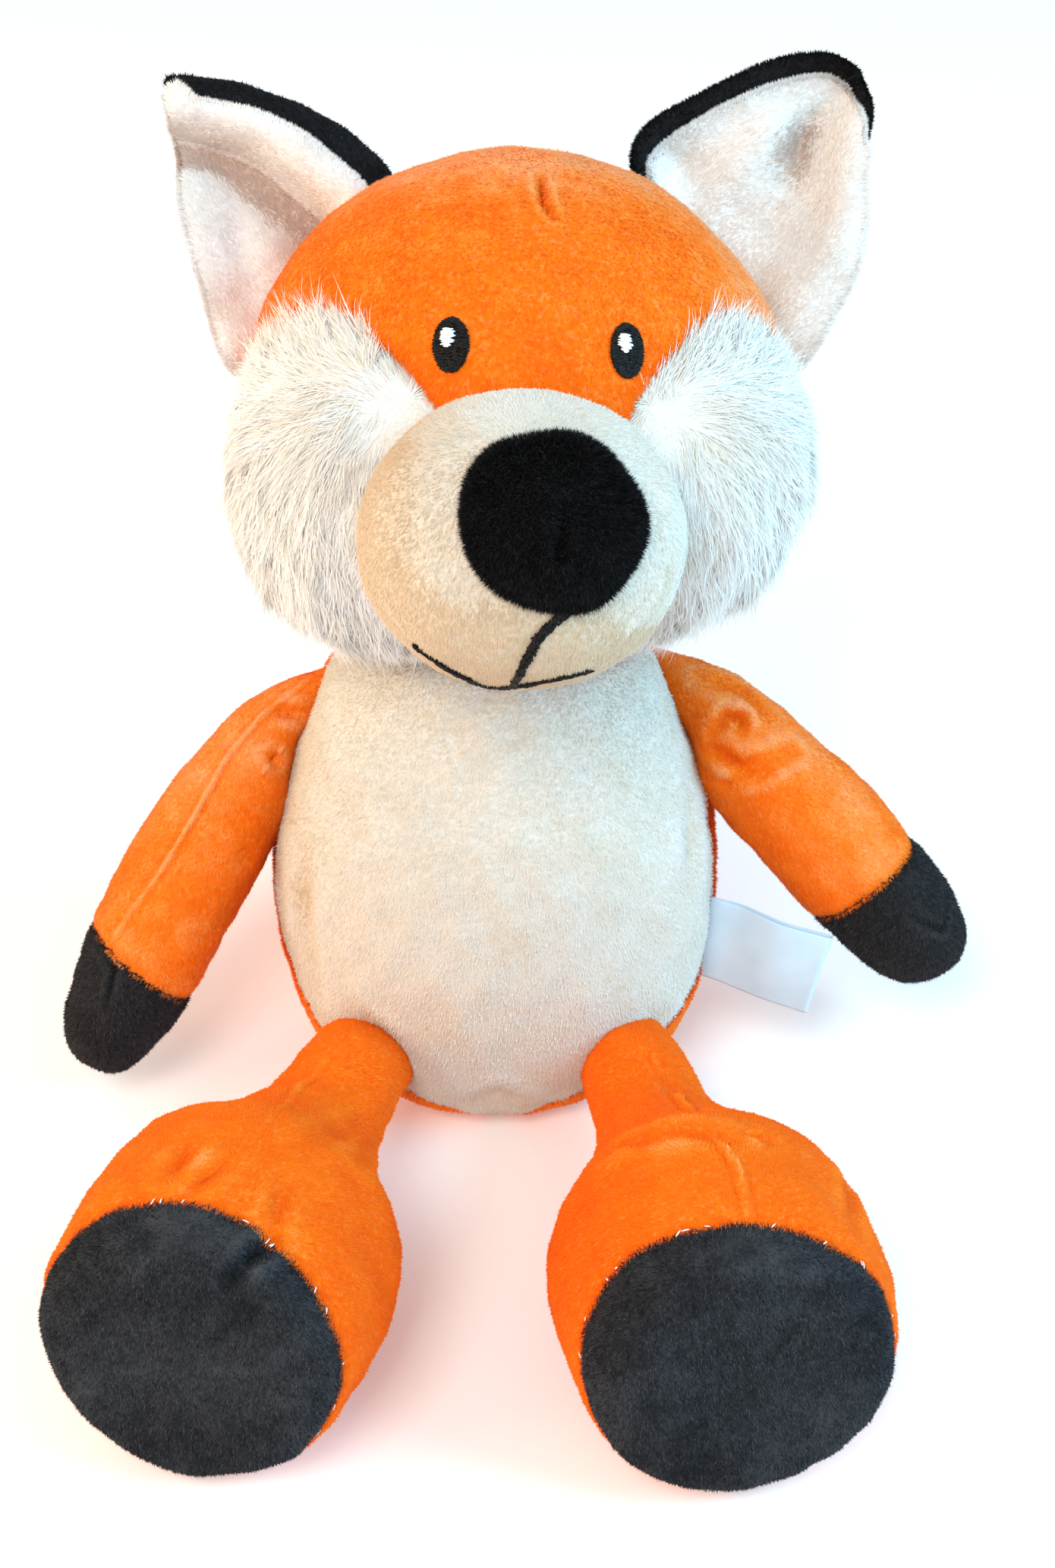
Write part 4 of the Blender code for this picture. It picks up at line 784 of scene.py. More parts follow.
class Nodes:
    """A short way to build a material's nodes."""

    def __init__(self, name):
        self.material = bpy.data.materials.new(name)
        self.material.use_nodes = True
        self.tree = self.material.node_tree
        self.shader = self.tree.nodes["Principled BSDF"]
        coordinates = self.tree.nodes.new("ShaderNodeTexCoord")
        self.place = coordinates.outputs["Object"]

    def noise(self, size, detail=2.0, rough=0.5, stretch=(1, 1, 1)):
        """Noise with features of about a size, in metres."""
        mapping = self.tree.nodes.new("ShaderNodeMapping")
        mapping.inputs["Scale"].default_value = stretch
        self.tree.links.new(self.place, mapping.inputs["Vector"])
        node = self.tree.nodes.new("ShaderNodeTexNoise")
        node.inputs["Scale"].default_value = 1 / size
        node.inputs["Detail"].default_value = detail
        node.inputs["Roughness"].default_value = rough
        self.tree.links.new(mapping.outputs["Vector"], node.inputs["Vector"])
        return node.outputs["Fac"]

    def painted(self, name):
        """A value that the mesh carries at its points."""
        node = self.tree.nodes.new("ShaderNodeAttribute")
        node.attribute_name = name
        return node.outputs["Fac"]

    def added(self, one, two):
        """The sum of two values."""
        node = self.tree.nodes.new("ShaderNodeMath")
        self.tree.links.new(one, node.inputs[0])
        self.tree.links.new(two, node.inputs[1])
        return node.outputs[0]

    def ramp(self, factor, colours, low=0.3, high=0.7):
        """Colours spread evenly over a factor from low to high."""
        node = self.tree.nodes.new("ShaderNodeValToRGB")
        if high > 1:
            scale = self.tree.nodes.new("ShaderNodeMapRange")
            scale.inputs["From Min"].default_value = low
            scale.inputs["From Max"].default_value = high
            self.tree.links.new(factor, scale.inputs["Value"])
            factor, low, high = scale.outputs["Result"], 0, 1
        elements = node.color_ramp.elements
        while len(elements) < len(colours):
            elements.new(0.5)
        for index, (element, colour) in enumerate(zip(elements, colours)):
            element.position = low + (high - low) * index / (len(colours) - 1)
            element.color = (*colour, 1)
        self.tree.links.new(factor, node.inputs["Fac"])
        return node.outputs["Color"]

    def mix(self, factor, one, two, blend="MIX"):
        """Two colours mixed by a factor."""
        node = self.tree.nodes.new("ShaderNodeMix")
        node.data_type = "RGBA"
        node.blend_type = blend
        node.inputs["Factor"].default_value = factor
        self.tree.links.new(one, node.inputs[6])
        self.tree.links.new(two, node.inputs[7])
        return node.outputs[2]

    def bump(self, height, distance, under=None):
        """A bump of a height in metres, over another one."""
        node = self.tree.nodes.new("ShaderNodeBump")
        node.inputs["Distance"].default_value = distance
        self.tree.links.new(height, node.inputs["Height"])
        if under is not None:
            self.tree.links.new(under, node.inputs["Normal"])
        return node.outputs["Normal"]

    def finish(self, colour, normal, roughness, sheen, tint):
        """The material, with its constant finish."""
        self.tree.links.new(colour, self.shader.inputs["Base Color"])
        if normal is not None:
            self.tree.links.new(normal, self.shader.inputs["Normal"])
        set_finish(self.shader, roughness, sheen, tint)
        return self.material


def set_finish(shader, roughness, sheen, tint):
    """Roughness and sheen straight on the shader's sockets."""
    shader.inputs["Roughness"].default_value = roughness
    shader.inputs["Specular IOR Level"].default_value = SPECULAR_SHARE
    shader.inputs["Sheen Weight"].default_value = sheen
    shader.inputs["Sheen Roughness"].default_value = SHEEN_ROUGHNESS_SHARE
    shader.inputs["Sheen Tint"].default_value = (*tint, 1)


def plush(name, colours, sheen, tint):
    """Short-pile plush: brushed patches that also carry the painted light and shade of the cover's tone,
    streaks of the nap and the grain of single tufts.
    """
    nodes = Nodes(name)
    # The painted tone brings in the cover's painted highlights and painted shade as well as its random tone
    brushed_and_painted_light = nodes.added(nodes.noise(BRUSHED_SIZE, 3, 0.55), nodes.painted("tone"))
    patches = nodes.ramp(brushed_and_painted_light, colours, 0.5, 1.5)
    streaks = nodes.ramp(nodes.noise(STREAK_SIZE, 3, 0.6, (1.6, 1.6, 0.7)), colours, 0.36, 0.64)
    grain = nodes.ramp(nodes.noise(GRAIN_SIZE, 1), ((0.88, 0.88, 0.88), NEUTRAL), 0.35, 0.6)
    colour = nodes.mix(0.9, nodes.mix(0.25, patches, streaks), grain, "MULTIPLY")
    coarse = nodes.bump(nodes.noise(COARSE_SIZE, 2), COARSE_RISE)
    fine = nodes.bump(nodes.noise(FINE_SIZE, 2), FINE_RISE, coarse)
    return nodes.finish(colour, fine, 0.85, sheen, tint)


def pile_materials(name, colours, sheen, tint):
    """One plain material for each colour of a pile."""
    made = []
    for index, colour in enumerate(colours):
        material = bpy.data.materials.new("%s_%d" % (name, index))
        material.use_nodes = True
        shader = material.node_tree.nodes["Principled BSDF"]
        shader.inputs["Base Color"].default_value = (*colour, 1)
        set_finish(shader, 0.8, sheen, tint)
        made.append(material)
    return made


def cloth(name, colours, pattern, relief, rise, roughness, sheen):
    """Thread, ribbon, filling or woven cloth: a pattern of two colours and a fine relief."""
    nodes = Nodes(name)
    shade = nodes.ramp(nodes.noise(*pattern), colours)
    return nodes.finish(shade, nodes.bump(nodes.noise(*relief), rise), roughness, sheen, NEUTRAL)


SLOTS = {kind: row[0] for kind, row in KINDS.items()}
PLUSH = {kind: plush(kind + "_backing", *row[1:4]) for kind, row in KINDS.items()}
PILE = {kind: pile_materials(kind + "_pile", *row[1:4]) for kind, row in KINDS.items()}
CLOTH = {name: cloth(name, *row) for name, row in CLOTHS.items()}


# Camera, so that details can be placed by the picture's pixels

CAMERA_SIDE = Vector((0, -math.cos(CAMERA_ELEVATION), math.sin(CAMERA_ELEVATION)))
CAMERA_PLACE = CAMERA_TARGET + CAMERA_DISTANCE * CAMERA_SIDE


def picture_ray(pixel):
    """The direction from the camera through a pixel."""
    ahead = (CAMERA_TARGET - CAMERA_PLACE).normalized()
    right = ahead.cross(Vector((0, 0, 1))).normalized()
    up = right.cross(ahead)
    half = PICTURE_HEIGHT / 2
    wide = (pixel[0] - PICTURE_WIDTH / 2) / half * CAMERA_SLOPE
    high = (half - pixel[1]) / half * CAMERA_SLOPE
    return (ahead + right * wide + up * high).normalized()


def seen(tree, pixel):
    """The place on a surface that the camera sees at a pixel."""
    place = tree.ray_cast(CAMERA_PLACE, picture_ray(pixel))[0]
    if place is None:
        place = tree.find_nearest(CAMERA_PLACE + picture_ray(pixel) * CAMERA_DISTANCE)[0]
    return np.array(place)


def smooth_line(points, step, count=0):
    """Points a step apart on a smooth curve through others, or a count of them at even shares."""
    points = np.array(points)
    padded = np.concatenate([[2 * points[0] - points[1]], points, [2 * points[-1] - points[-2]]])
    line = []
    for index in range(len(points) - 1):
        before, start, end, after = padded[index:index + 4]
        cells = count if count else max(int(np.linalg.norm(end - start) / step), 1)
        share = (np.arange(cells) / cells)[:, None]
        line.append(0.5 * (2 * start + (end - before) * share
                           + (2 * before - 5 * start + 4 * end - after) * share ** 2
                           + (3 * start - before - 3 * end + after) * share ** 3))
    return np.concatenate(line + [points[-1:]])


def line_gap(points, line):
    """Distance of points from a line of straight stretches, and how far along it they are, from 0 to 1."""
    best = np.full(len(points), np.inf)
    share = np.zeros(len(points))
    for index in range(len(line) - 1):
        start = line[index]
        step = line[index + 1] - start
        part = np.clip((points - start) @ step / (step @ step), 0, 1)
        away = np.linalg.norm(points - start - part[:, None] * step, axis=1)
        share = np.where(away < best, (index + part) / (len(line) - 1), share)
        best = np.minimum(best, away)
    return best, share


def creased(name, skin):
    """Offsets for a piece's folds, each deepest in its middle."""
    tree = skin.tree()
    offset = np.zeros(len(skin.points))
    for pixels, width, depth in CREASES[name]:
        away, share = line_gap(skin.points, np.array([seen(tree, pixel) for pixel in pixels]))
        strength = CREASE_END_SHARE + (1 - CREASE_END_SHARE) * np.sin(math.pi * share)
        offset -= CREASE_DEPTH_SHARE * depth * strength * bell(away / width)
        offset += CREASE_LIP_SHARE * depth * strength * bell((away - CREASE_LIP_WIDTHS * width) / width)
    return offset


def toned(name, skin):
    """The tones of a cover: its level, its patches of painted highlight and painted shade, and its ripples.
    """
    base, *patches = TONES[name]
    points = in_head(skin.points) if name in ("cap", "muzzle") else skin.points
    axes = {"x": points[:, 0], "y": points[:, 1], "z": points[:, 2], "aside": np.abs(points[:, 0]),
            "up": skin.normals()[:, 2]}
    tone = base + (uneven(name + "_tone", skin.points) if name + "_tone" in RIPPLES else 0)
    for strength, *fades in patches:
        shares = [fade(axes[axis], start, width) for axis, start, width in fades]
        tone = tone + strength * np.prod(shares, axis=0)
    return tone


# Pile

def outward_side(way, normals, stray):
    """Width directions of fibres whose flat side faces outward, about."""
    side = level(unit(np.cross(way, normals) + stray), way)
    faces_in = dots(np.cross(side, way), normals) < 0
    return np.where(faces_in[:, None], -side, side)


def pile(name, skin, kind, count, length=PILE_LENGTH, width=PILE_WIDTH, flow=PILE_NAP, lean=PILE_LEAN_SHARE,
         fringe=0.0, spread=PILE_SPREAD_SHARE, seed=0):
    """Short fibres all over a surface, with a denser and longer fringe along its seams."""
    draw = np.random.default_rng(seed)
    tone_stray, turn_stray = KINDS[kind][4:]
    corners = skin.points[skin.tris]
    flat = skin.facets()
    facing = flat / np.maximum(np.linalg.norm(flat, axis=1), 1e-14)[:, None]
    edge = skin.values["edge"][skin.tris]
    nearness = bell(edge.mean(axis=1) / FRINGE_REACH)
    pick, parts, roots = skin.scattered(count, draw, 1 + 3 * fringe * nearness)
    normals = unit(skin.at(skin.normals(), pick, parts))
    slope = np.zeros_like(flat)
    for index in range(3):
        opposite = corners[:, (index + 2) % 3] - corners[:, (index + 1) % 3]
        slope += edge[:, index, None] * np.cross(facing, opposite)
    near = (nearness[pick] * min(fringe, 1))[:, None]
    way = level(np.broadcast_to(flow, roots.shape), normals)
    way = way * (1 - near) - unit(slope)[pick] * near * 1.2
    way = unit(normals * (1 - lean) + way * lean + draw.normal(size=roots.shape) * spread)
    side = outward_side(way, normals, draw.normal(size=roots.shape) * turn_stray)
    reach = (length * draw.uniform(0.65, 1.3, count))[:, None] * (1 + 0.35 * near)
    half = (width / 2 * draw.uniform(0.7, 1.3, count))[:, None]
    roots = roots - normals * PILE_SINK
    points = np.stack([roots - side * half, roots + side * half, roots + way * reach], axis=1)
    thing = mesh_object(name, points.reshape(-1, 3), np.arange(3 * count).reshape(-1, 3), PILE[kind])
    # The fibres take the cover's tone, with its painted highlights and painted shade
    tone = skin.at(skin.values["tone"], pick, parts)
    tone += 0.04 * ripples(roots, PATCH_SIZE / 4, seed + 2) + tone_stray * draw.normal(size=count)
    paint(thing, kind, tone)
    return thing


def paint(thing, kind, tone, times=1):
    """The colours of fibres of some faces each, from their tones."""
    last = len(PILE[kind]) - 1
    index = np.clip((tone * (last + 1)).astype(int), 0, last)
    thing.data.polygons.foreach_set("material_index", np.repeat(index, times).astype(np.int32))


def place(piece, slot, body, blend=None):
    """A piece attached to its body, or its place baked into its mesh when it lies between two bodies; the
    slot is not used.
    """
    if blend is None:
        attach(piece, body)
    else:
        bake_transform(piece)


def stand_for(nodes):
    """Hides the parts of model.glb that a piece replaces."""
    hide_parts(*nodes)


def backing(name, skin, kind):
    """The cloth of a cover, hemmed at its open edges and painted with its tone."""
    hem = skin.hemmed()
    thing = mesh_object(name, hem.points, hem.tris, [PLUSH[kind]])
    tone = thing.data.attributes.new("tone", "FLOAT", "POINT")
    tone.data.foreach_set("value", hem.values["tone"].astype(np.float32))
    return thing


def cover(name, skin, kind, nodes, body, blend=None, fill=0.7, tones=None, patch=PATCH_SIZE, **fibres):
    """A sewn cover and its pile, on their body, or with their places baked when they lie between two bodies.
    """
    fold = skin.values.get("fold", np.zeros(1))
    tone = 0.5 + 0.10 * ripples(skin.points, patch, 7) + 0.04 * ripples(skin.points, patch / 3, 8)
    # Painted highlights on the lips of folds, painted shade in their grooves, and the ears' painted shade in
    # their hollows
    tone += np.where(fold > 0, RIDGE_PAINTED_HIGHLIGHT, GROOVE_PAINTED_SHADE) * fold + skin.values.get("shade", 0)
    skin.values["tone"] = tone if tones is None else tone + toned(tones, skin)
    thing = backing(name, skin, kind)
    place(thing, SLOTS[kind], body, blend)
    stand_for(nodes)
    place(pile(name + "_pile", skin, kind, **fibres), SLOTS[kind], body, blend)


def cut(skin, *names):
    """The part of a surface inside all of its seam values, with the distance from the nearest as its edge."""
    skin.values["edge"] = np.min([skin.values[name] for name in names], axis=0)
    for name in names:
        skin = skin.clipped(name)
    return skin


def filling(name, form, around, rings, nodes, body, blend=None, clip=None):
    """Loose filling inside a cover."""
    skin = form_skin(form, around, rings, FABRIC + STUFFING_GAP)
    if clip is not None:
        skin.values["clip"] = clip(skin.points)
        skin = skin.clipped("clip")
    skin = skin.raised(uneven("filling", skin.points) - FILLING_SINK)
    thing = mesh_object(name, skin.points, skin.tris, [CLOTH["stuffing"]])
    place(thing, "stuffing", body, blend)
    stand_for(nodes)


# Torso

LEAN = np.array([0, math.sin(TORSO_RECLINE), math.cos(TORSO_RECLINE)])
TORSO_START = np.array([0, SEAT_FORWARD, 0]) - LEAN * TORSO_SUNK
TORSO_BACK = np.array([0, math.cos(TORSO_RECLINE), -math.sin(TORSO_RECLINE)])


def torso_form(half_depth):
    """The torso, reclined: an egg that tapers to the shoulders."""
    return Form(path=straight_path(TORSO_START, TORSO_START + LEAN * TORSO_LENGTH),
                side=np.array([1.0, 0, 0]), half_width=TORSO_HALF_WIDTH, half_depth=half_depth,
                width_shares=TORSO_SWELL_SHARES,
                depth_shares=TORSO_SWELL_SHARES, start_bluntness=0.5, end_bluntness=0.5,
                settle_height=SEAT_SETTLE_HEIGHT, sink=SEAT_SINK)


TORSO = torso_form(TORSO_HALF_DEPTH)
SOCKET = torso_form(TORSO_HALF_WIDTH)


def belly_gap(points):
    """How far points are inside the belly's outline, seen from the front."""
    away = points - TORSO_START
    reach = BELLY_HEAD - BELLY_FOOT + TORSO_SUNK
    tall = (away @ LEAN - BELLY_FOOT) / reach
    wide = (TORSO_HALF_WIDTH - BELLY_SEAM_INSET) * swell(BELLY_OUTLINE_SHARES, tall)
    inside = np.minimum(wide - np.abs(away[:, 0]), np.minimum(tall, 1 - tall) * reach)
    return np.minimum(inside, -(away @ TORSO_BACK))


def build_torso():
    """Back and belly covers with the seam between them, the filling and the bag of beans."""
    skin = form_skin(TORSO, 300, 190)
    belly = belly_gap(skin.points)
    folds = creased("torso", skin)
    skin.values["fold"] = folds
    skin = skin.raised(uneven("torso", skin.points) + folds - dip("belly", belly))
    skin.values["back"] = -belly - SEAM_GAP / 2
    skin.values["belly"] = belly - SEAM_GAP / 2
    cover("body_back_cover", cut(skin, "back"), "orange", ["body_back"], "torso", count=120000, fringe=1.2,
          seed=21)
    cover("belly_cover", cut(skin, "belly"), "cream", ["belly_panel"], "torso", count=120000, fringe=0.6,
          seed=22, tones="belly")
    pouch_foot = np.array([0, POUCH_BACK, FABRIC + STUFFING_GAP])
    pouch = Form(path=straight_path(pouch_foot, pouch_foot + np.array([0, 0, POUCH_HEIGHT])),
                 side=np.array([1.0, 0, 0]), half_width=POUCH_HALF_WIDTH, half_depth=POUCH_HALF_DEPTH,
                 start_bluntness=0.6, end_bluntness=0.6)
    filling("body_filling", TORSO, 96, 64, ["body_stuffing"], "torso")
    beans = form_skin(pouch, 96, 64, POUCH_INSET)
    beans = beans.raised(uneven("beans", beans.points))
    bag = mesh_object("bean_bag", beans.points, beans.tris, [CLOTH["bean_cloth"]])
    place(bag, "bean_cloth", "torso")
    stand_for(["bean_pouch"])


# Head

HEAD_PLACE = Matrix.Translation((HEAD_ASIDE, HEAD_BACK, HEAD_RISE))
HEAD = np.array(HEAD_PLACE @ Matrix.Rotation(-HEAD_PITCH, 4, "X") @ Matrix.Rotation(HEAD_TURN_AT_REST, 4, "Z")
                @ Matrix.Rotation(HEAD_TILT, 4, "Y"))
TURN = HEAD[:3, :3]
MIDDLE = HEAD[:3, 3]
SKULL_RADII = np.array([HEAD_HALF_WIDTH, HEAD_HALF_DEPTH, HEAD_HEIGHT / 2])


def to_world(*place):
    """A place in the head's frame, in world places."""
    return MIDDLE + TURN @ np.array(place, float)


def in_head(points):
    """World places in the head's frame."""
    return (points - MIDDLE) @ TURN


def oval_gap(points, middle, radii):
    """How far places are outside an ellipsoid, about."""
    away = points - np.asarray(middle)
    ratio = np.linalg.norm(away / radii, axis=1) + TINY
    return np.linalg.norm(away, axis=1) * (1 - 1 / ratio)


def upright_form(middle, radii):
    """An ellipsoid that stands in the head's frame."""
    low = to_world(middle[0], middle[1], middle[2] - radii[2])
    high = to_world(middle[0], middle[1], middle[2] + radii[2])
    return Form(path=straight_path(low, high), side=TURN @ np.array([1.0, 0, 0]),
                half_width=radii[0], half_depth=radii[1])


def facing_form(root, tip, half_width, half_height, **more):
    """A form that reaches forward in the head's frame."""
    return Form(path=straight_path(to_world(*root), to_world(*tip)), side=TURN @ np.array([1.0, 0, 0]),
                half_width=half_width, half_depth=half_height, **more)


SKULL = upright_form((0, 0, 0), SKULL_RADII)
MUZZLE = facing_form((MUZZLE_ROOT_ASIDE, -MUZZLE_ROOT_DEPTH, -MUZZLE_DROP),
                     (MUZZLE_TIP_ASIDE, -MUZZLE_REACH, -MUZZLE_DROP), MUZZLE_HALF_WIDTH, MUZZLE_HALF_HEIGHT,
                     width_shares=MUZZLE_SWELL_SHARES, depth_shares=MUZZLE_SWELL_SHARES,
                     start_bluntness=0.6, end_bluntness=0.6)
NOSE_TIP = (MUZZLE_TIP_ASIDE, -MUZZLE_REACH - NOSE_PROUD, NOSE_RAISE - MUZZLE_DROP)
NOSE = facing_form((NOSE_TIP[0], NOSE_TIP[1] + NOSE_LENGTH, NOSE_TIP[2]), NOSE_TIP, NOSE_HALF_WIDTH,
                   NOSE_HALF_HEIGHT, start_bluntness=0.8, end_bluntness=0.8)


def cheek_gap(points, name):
    """How far world places are outside a cheek."""
    return oval_gap(in_head(points), CHEEK_MIDDLES[name], np.array(CHEEK_RADII[name]))


def build_cap():
    """The orange head cover, with seams where cheeks, muzzle and neck meet it."""
    skin = form_skin(SKULL, 300, 200)
    left = cheek_gap(skin.points, "left") + CAP_CHEEK_SHIFT
    right = cheek_gap(skin.points, "right") + CAP_CHEEK_SHIFT
    snout = MUZZLE.gap(skin.points) + CAP_SNOUT_SHIFT
    neck = SOCKET.gap(skin.points, NECK_CLEARANCE)
    folds = creased("cap", skin)
    skin.values["fold"] = folds
    dips = dip("cap_snout", snout) + dip("cap_cheek", np.minimum(left, right))
    skin = skin.raised(uneven("cap", skin.points) + folds - dips)
    skin.values.update(left=left, right=right, snout=snout, neck=neck)
    skin = cut(skin, "left", "right", "snout", "neck")
    cover("head_cover", skin, "orange", ["head_cap"], "head", count=150000, fringe=0.7, seed=33,
          flow=TURN @ np.array([0, 0.4, -1.0]), tones="cap")
    return skin


def build_muzzle():
    """The cream muzzle, drawn in round the nose, and the nose itself."""
    skin = form_skin(MUZZLE, 220, 160)
    nose = NOSE.gap(skin.points) + SNOUT_NOSE_SHIFT
    skull = oval_gap(in_head(skin.points), (0, 0, 0), SKULL_RADII) + SNOUT_ROOT_SHIFT
    folds = creased("muzzle", skin)
    skin.values["fold"] = folds
    dips = dip("nose_rim", nose) + dip("nose_ring", nose) + dip("snout_root", skull)
    whole = skin.raised(uneven("muzzle", skin.points) + folds - dips)
    whole.values.update(nose=nose, skull=skull)
    cover("muzzle_cover", cut(whole, "nose", "skull"), "cream", ["muzzle"], "head", count=90000, fringe=0.5,
          seed=43, tones="muzzle", flow=TURN @ np.array([0, 1.0, -0.6]))
    ball = form_skin(NOSE, 160, 110)
    under = MUZZLE.gap(ball.points) + NOSE_ROOT_SHIFT
    folds = creased("nose", ball)
    ball = ball.raised(uneven("nose", ball.points) + folds - NOSE_SINK - dip("nose_root", under))
    ball.values["under"] = under
    cover("nose_cover", cut(ball, "under"), "black", ["nose"], "head", count=70000, fringe=1.6, seed=45,
          length=NOSE_PILE_LENGTH, lean=0.5, width=NOSE_PILE_WIDTH, spread=0.4,
          flow=TURN @ np.array([0.1, 0.2, -1.0]), patch=NOSE_PATCH_SIZE)
    filling("head_filling", SKULL, 96, 64, ["head_stuffing"], "head",
            clip=lambda points: SOCKET.gap(points, NECK_CLEARANCE + FABRIC + STUFFING_GAP))
    return whole


# Cheeks

def cheek_flow(places, side):
    """Which way the fur lies at places in the head's frame: up at the top, outward, and down below."""
    away = places - np.array(FUR_SPREAD_FROM) * (side, 1, 1)
    away[:, 1] *= 0.4
    fall = np.array([side * 0.1, 0, -1.3]) * fade(places[:, 2:], *FUR_FALL)
    return unit(away) + fall + np.array([side * 0.1, 0, 0.9]) * fade(places[:, 2:], *FUR_RISE)


def strands(name, skin, side, coat, seeds, clump_turns, draw):
    """Tapering strands of fur that gather in clumps, and keep clear of the turning neck."""
    count, steps, length, thick, clumping = coat
    pick, parts, roots = skin.scattered(count, draw)
    normals = unit(skin.at(skin.normals(), pick, parts))
    snout, skull = [skin.at(skin.values[key], pick, parts) for key in ("snout", "skull")]
    place = in_head(roots)
    near = fade(skull, *FUR_NEAR_SKULL)[:, None]
    normals = unit(normals * (1 - 0.85 * near) + unit((place / SKULL_RADII ** 2) @ TURN.T) * near)
    nearest = np.concatenate([np.argmin(((part[:, None] - seeds[None]) ** 2).sum(axis=2), axis=1)
                              for part in np.array_split(roots, 60)])
    clump_turn = clump_turns[nearest]
    flow = level(cheek_flow(place, side) @ TURN.T + clump_turn * 0.36, normals)
    short = 0.40 + 0.60 * fade(snout, 0, FUR_NEAR_SNOUT)
    short *= 1 - 0.5 * fade(np.abs(place[:, 0]), *FUR_INNER_ASIDE) * fade(place[:, 2], *FUR_INNER_HEIGHT)
    reach = length * short * draw.uniform(0.65, 1.2, count) * (1 + 0.14 * clump_turn[:, 0])
    rise = 0.30 * short
    across = outward_side(unit(flow + 0.4 * normals), normals, draw.normal(size=roots.shape) * 0.3)
    jitter = draw.normal(size=roots.shape) * 0.17
    pull = (seeds[nearest] - roots) * clumping - np.array([0, 0, FUR_SAG])
    for _ in range(FUR_TRIMS):
        tips = roots + (flow + normals * (0.4 * rise)[:, None] + jitter) * reach[:, None] + pull
        held = SOCKET.gap(tips, FUR_CLEARANCE) < 0
        reach[held] *= FUR_TRIM_SHARE
        pull[held] *= FUR_TRIM_SHARE
    kept = np.minimum(SOCKET.gap(roots, FUR_CLEARANCE), SOCKET.gap(tips, FUR_CLEARANCE)) > 0
    points = []
    for share in np.arange(steps + 1) / steps:
        lie = flow * share + normals * (rise * share * (1 - 0.6 * share))[:, None] + jitter * share * share
        spot = roots + lie * reach[:, None] + pull * share ** 1.5
        half = thick * (1 - share) ** 0.7
        points += [spot - across * half, spot + across * half] if share < 1 else [spot]
    size = len(points)
    points = np.stack(points, axis=1)[kept].reshape(-1, 3)
    strip = []
    for low in range(0, 2 * steps - 2, 2):
        strip += [(low, low + 1, low + 3), (low, low + 3, low + 2)]
    strip = np.array(strip + [(2 * steps - 2, 2 * steps - 1, 2 * steps)])
    faces = (strip[None] + (np.arange(kept.sum()) * size)[:, None, None]).reshape(-1, 3)
    fur = mesh_object(name, points, faces, PILE["fur"])
    tone = 0.52 + 0.07 * clump_turn[:, 1] + 0.14 * draw.normal(size=count)
    tone += 0.14 * ripples(roots, FUR_PATCH_SIZE, 5) + 0.15 * fade(skull, 0, FUR_PALE_REACH)
    paint(fur, "fur", tone[kept], len(strip))
    return fur


def build_cheek(name):
    """A cheek's backing, its undercoat and its long fur, which overlaps the cap and the muzzle."""
    side = 1 if name == "left" else -1
    skin = form_skin(upright_form(CHEEK_MIDDLES[name], CHEEK_RADII[name]), 120, 84)
    skull = oval_gap(in_head(skin.points), (0, 0, 0), SKULL_RADII) + CHEEK_ROOT_SHIFT
    snout = MUZZLE.gap(skin.points) + CHEEK_SNOUT_SHIFT
    neck = SOCKET.gap(skin.points, NECK_CLEARANCE)
    skin = skin.raised(uneven("cheek_" + name, skin.points) - CHEEK_SINK)
    skin.values.update(skull=skull, snout=snout, neck=neck, tone=np.full(len(skin.points), 0.6))
    skin = cut(skin, "skull", "snout", "neck")
    base = backing("cheek_%s_backing" % name, skin, "fur")
    draw = np.random.default_rng(CHEEK_SEEDS[name])
    seeds = skin.scattered(FUR_CLUMPS, draw)[2]
    turns = draw.normal(size=(FUR_CLUMPS, 3))
    place(base, "cheek_pile", "head")
    for layer, *coat in COATS:
        piece = strands("cheek_%s_%s" % (name, layer), skin, side, coat, seeds, turns, draw)
        place(piece, "cheek_pile", "head")
    stand_for(["cheek_" + name])


# Embroidery

def stitches(name, middles, ways, normals, lengths, widths, slot, blend=None, body="head"):
    """Threads as short plump stitches on a surface."""
    around, rows = 6, 5
    normals = np.broadcast_to(normals, middles.shape)
    widths = np.broadcast_to(widths, len(middles))
    share = (np.arange(rows) + 0.5) / rows
    bulge = np.sin(math.pi * share) ** 0.45
    turn = 2 * math.pi * np.arange(around) / around
    across = unit(np.cross(normals, ways))
    up = unit(np.cross(ways, across))
    ring = across[:, None] * np.cos(turn)[None, :, None] + up[:, None] * (0.7 * np.sin(turn))[None, :, None]
    points = []
    for row in range(rows):
        centre = middles + ways * ((share[row] - 0.5) * lengths)[:, None]
        centre = centre + normals * (widths * 0.25 * bulge[row])[:, None]
        points.append(centre[:, None] + ring * (widths / 2 * bulge[row])[:, None, None])
    ends = ways * (lengths / 2)[:, None]
    points = np.concatenate(points + [(middles - ends)[:, None], (middles + ends)[:, None]], axis=1)
    size = points.shape[1]
    last = (rows - 1) * around
    tris = []
    for index in range(around):
        following = (index + 1) % around
        for low in range(0, last, around):
            one, two = low + index, low + following
            tris += [(one, two, two + around), (one, two + around, one + around)]
        tris += [(size - 2, following, index), (last + index, last + following, size - 1)]
    faces = (np.array(tris)[None] + (np.arange(len(middles)) * size)[:, None, None]).reshape(-1, 3)
    piece = mesh_object(name, points.reshape(-1, 3), faces, [CLOTH[slot]])
    place(piece, slot, body, blend)
    return piece


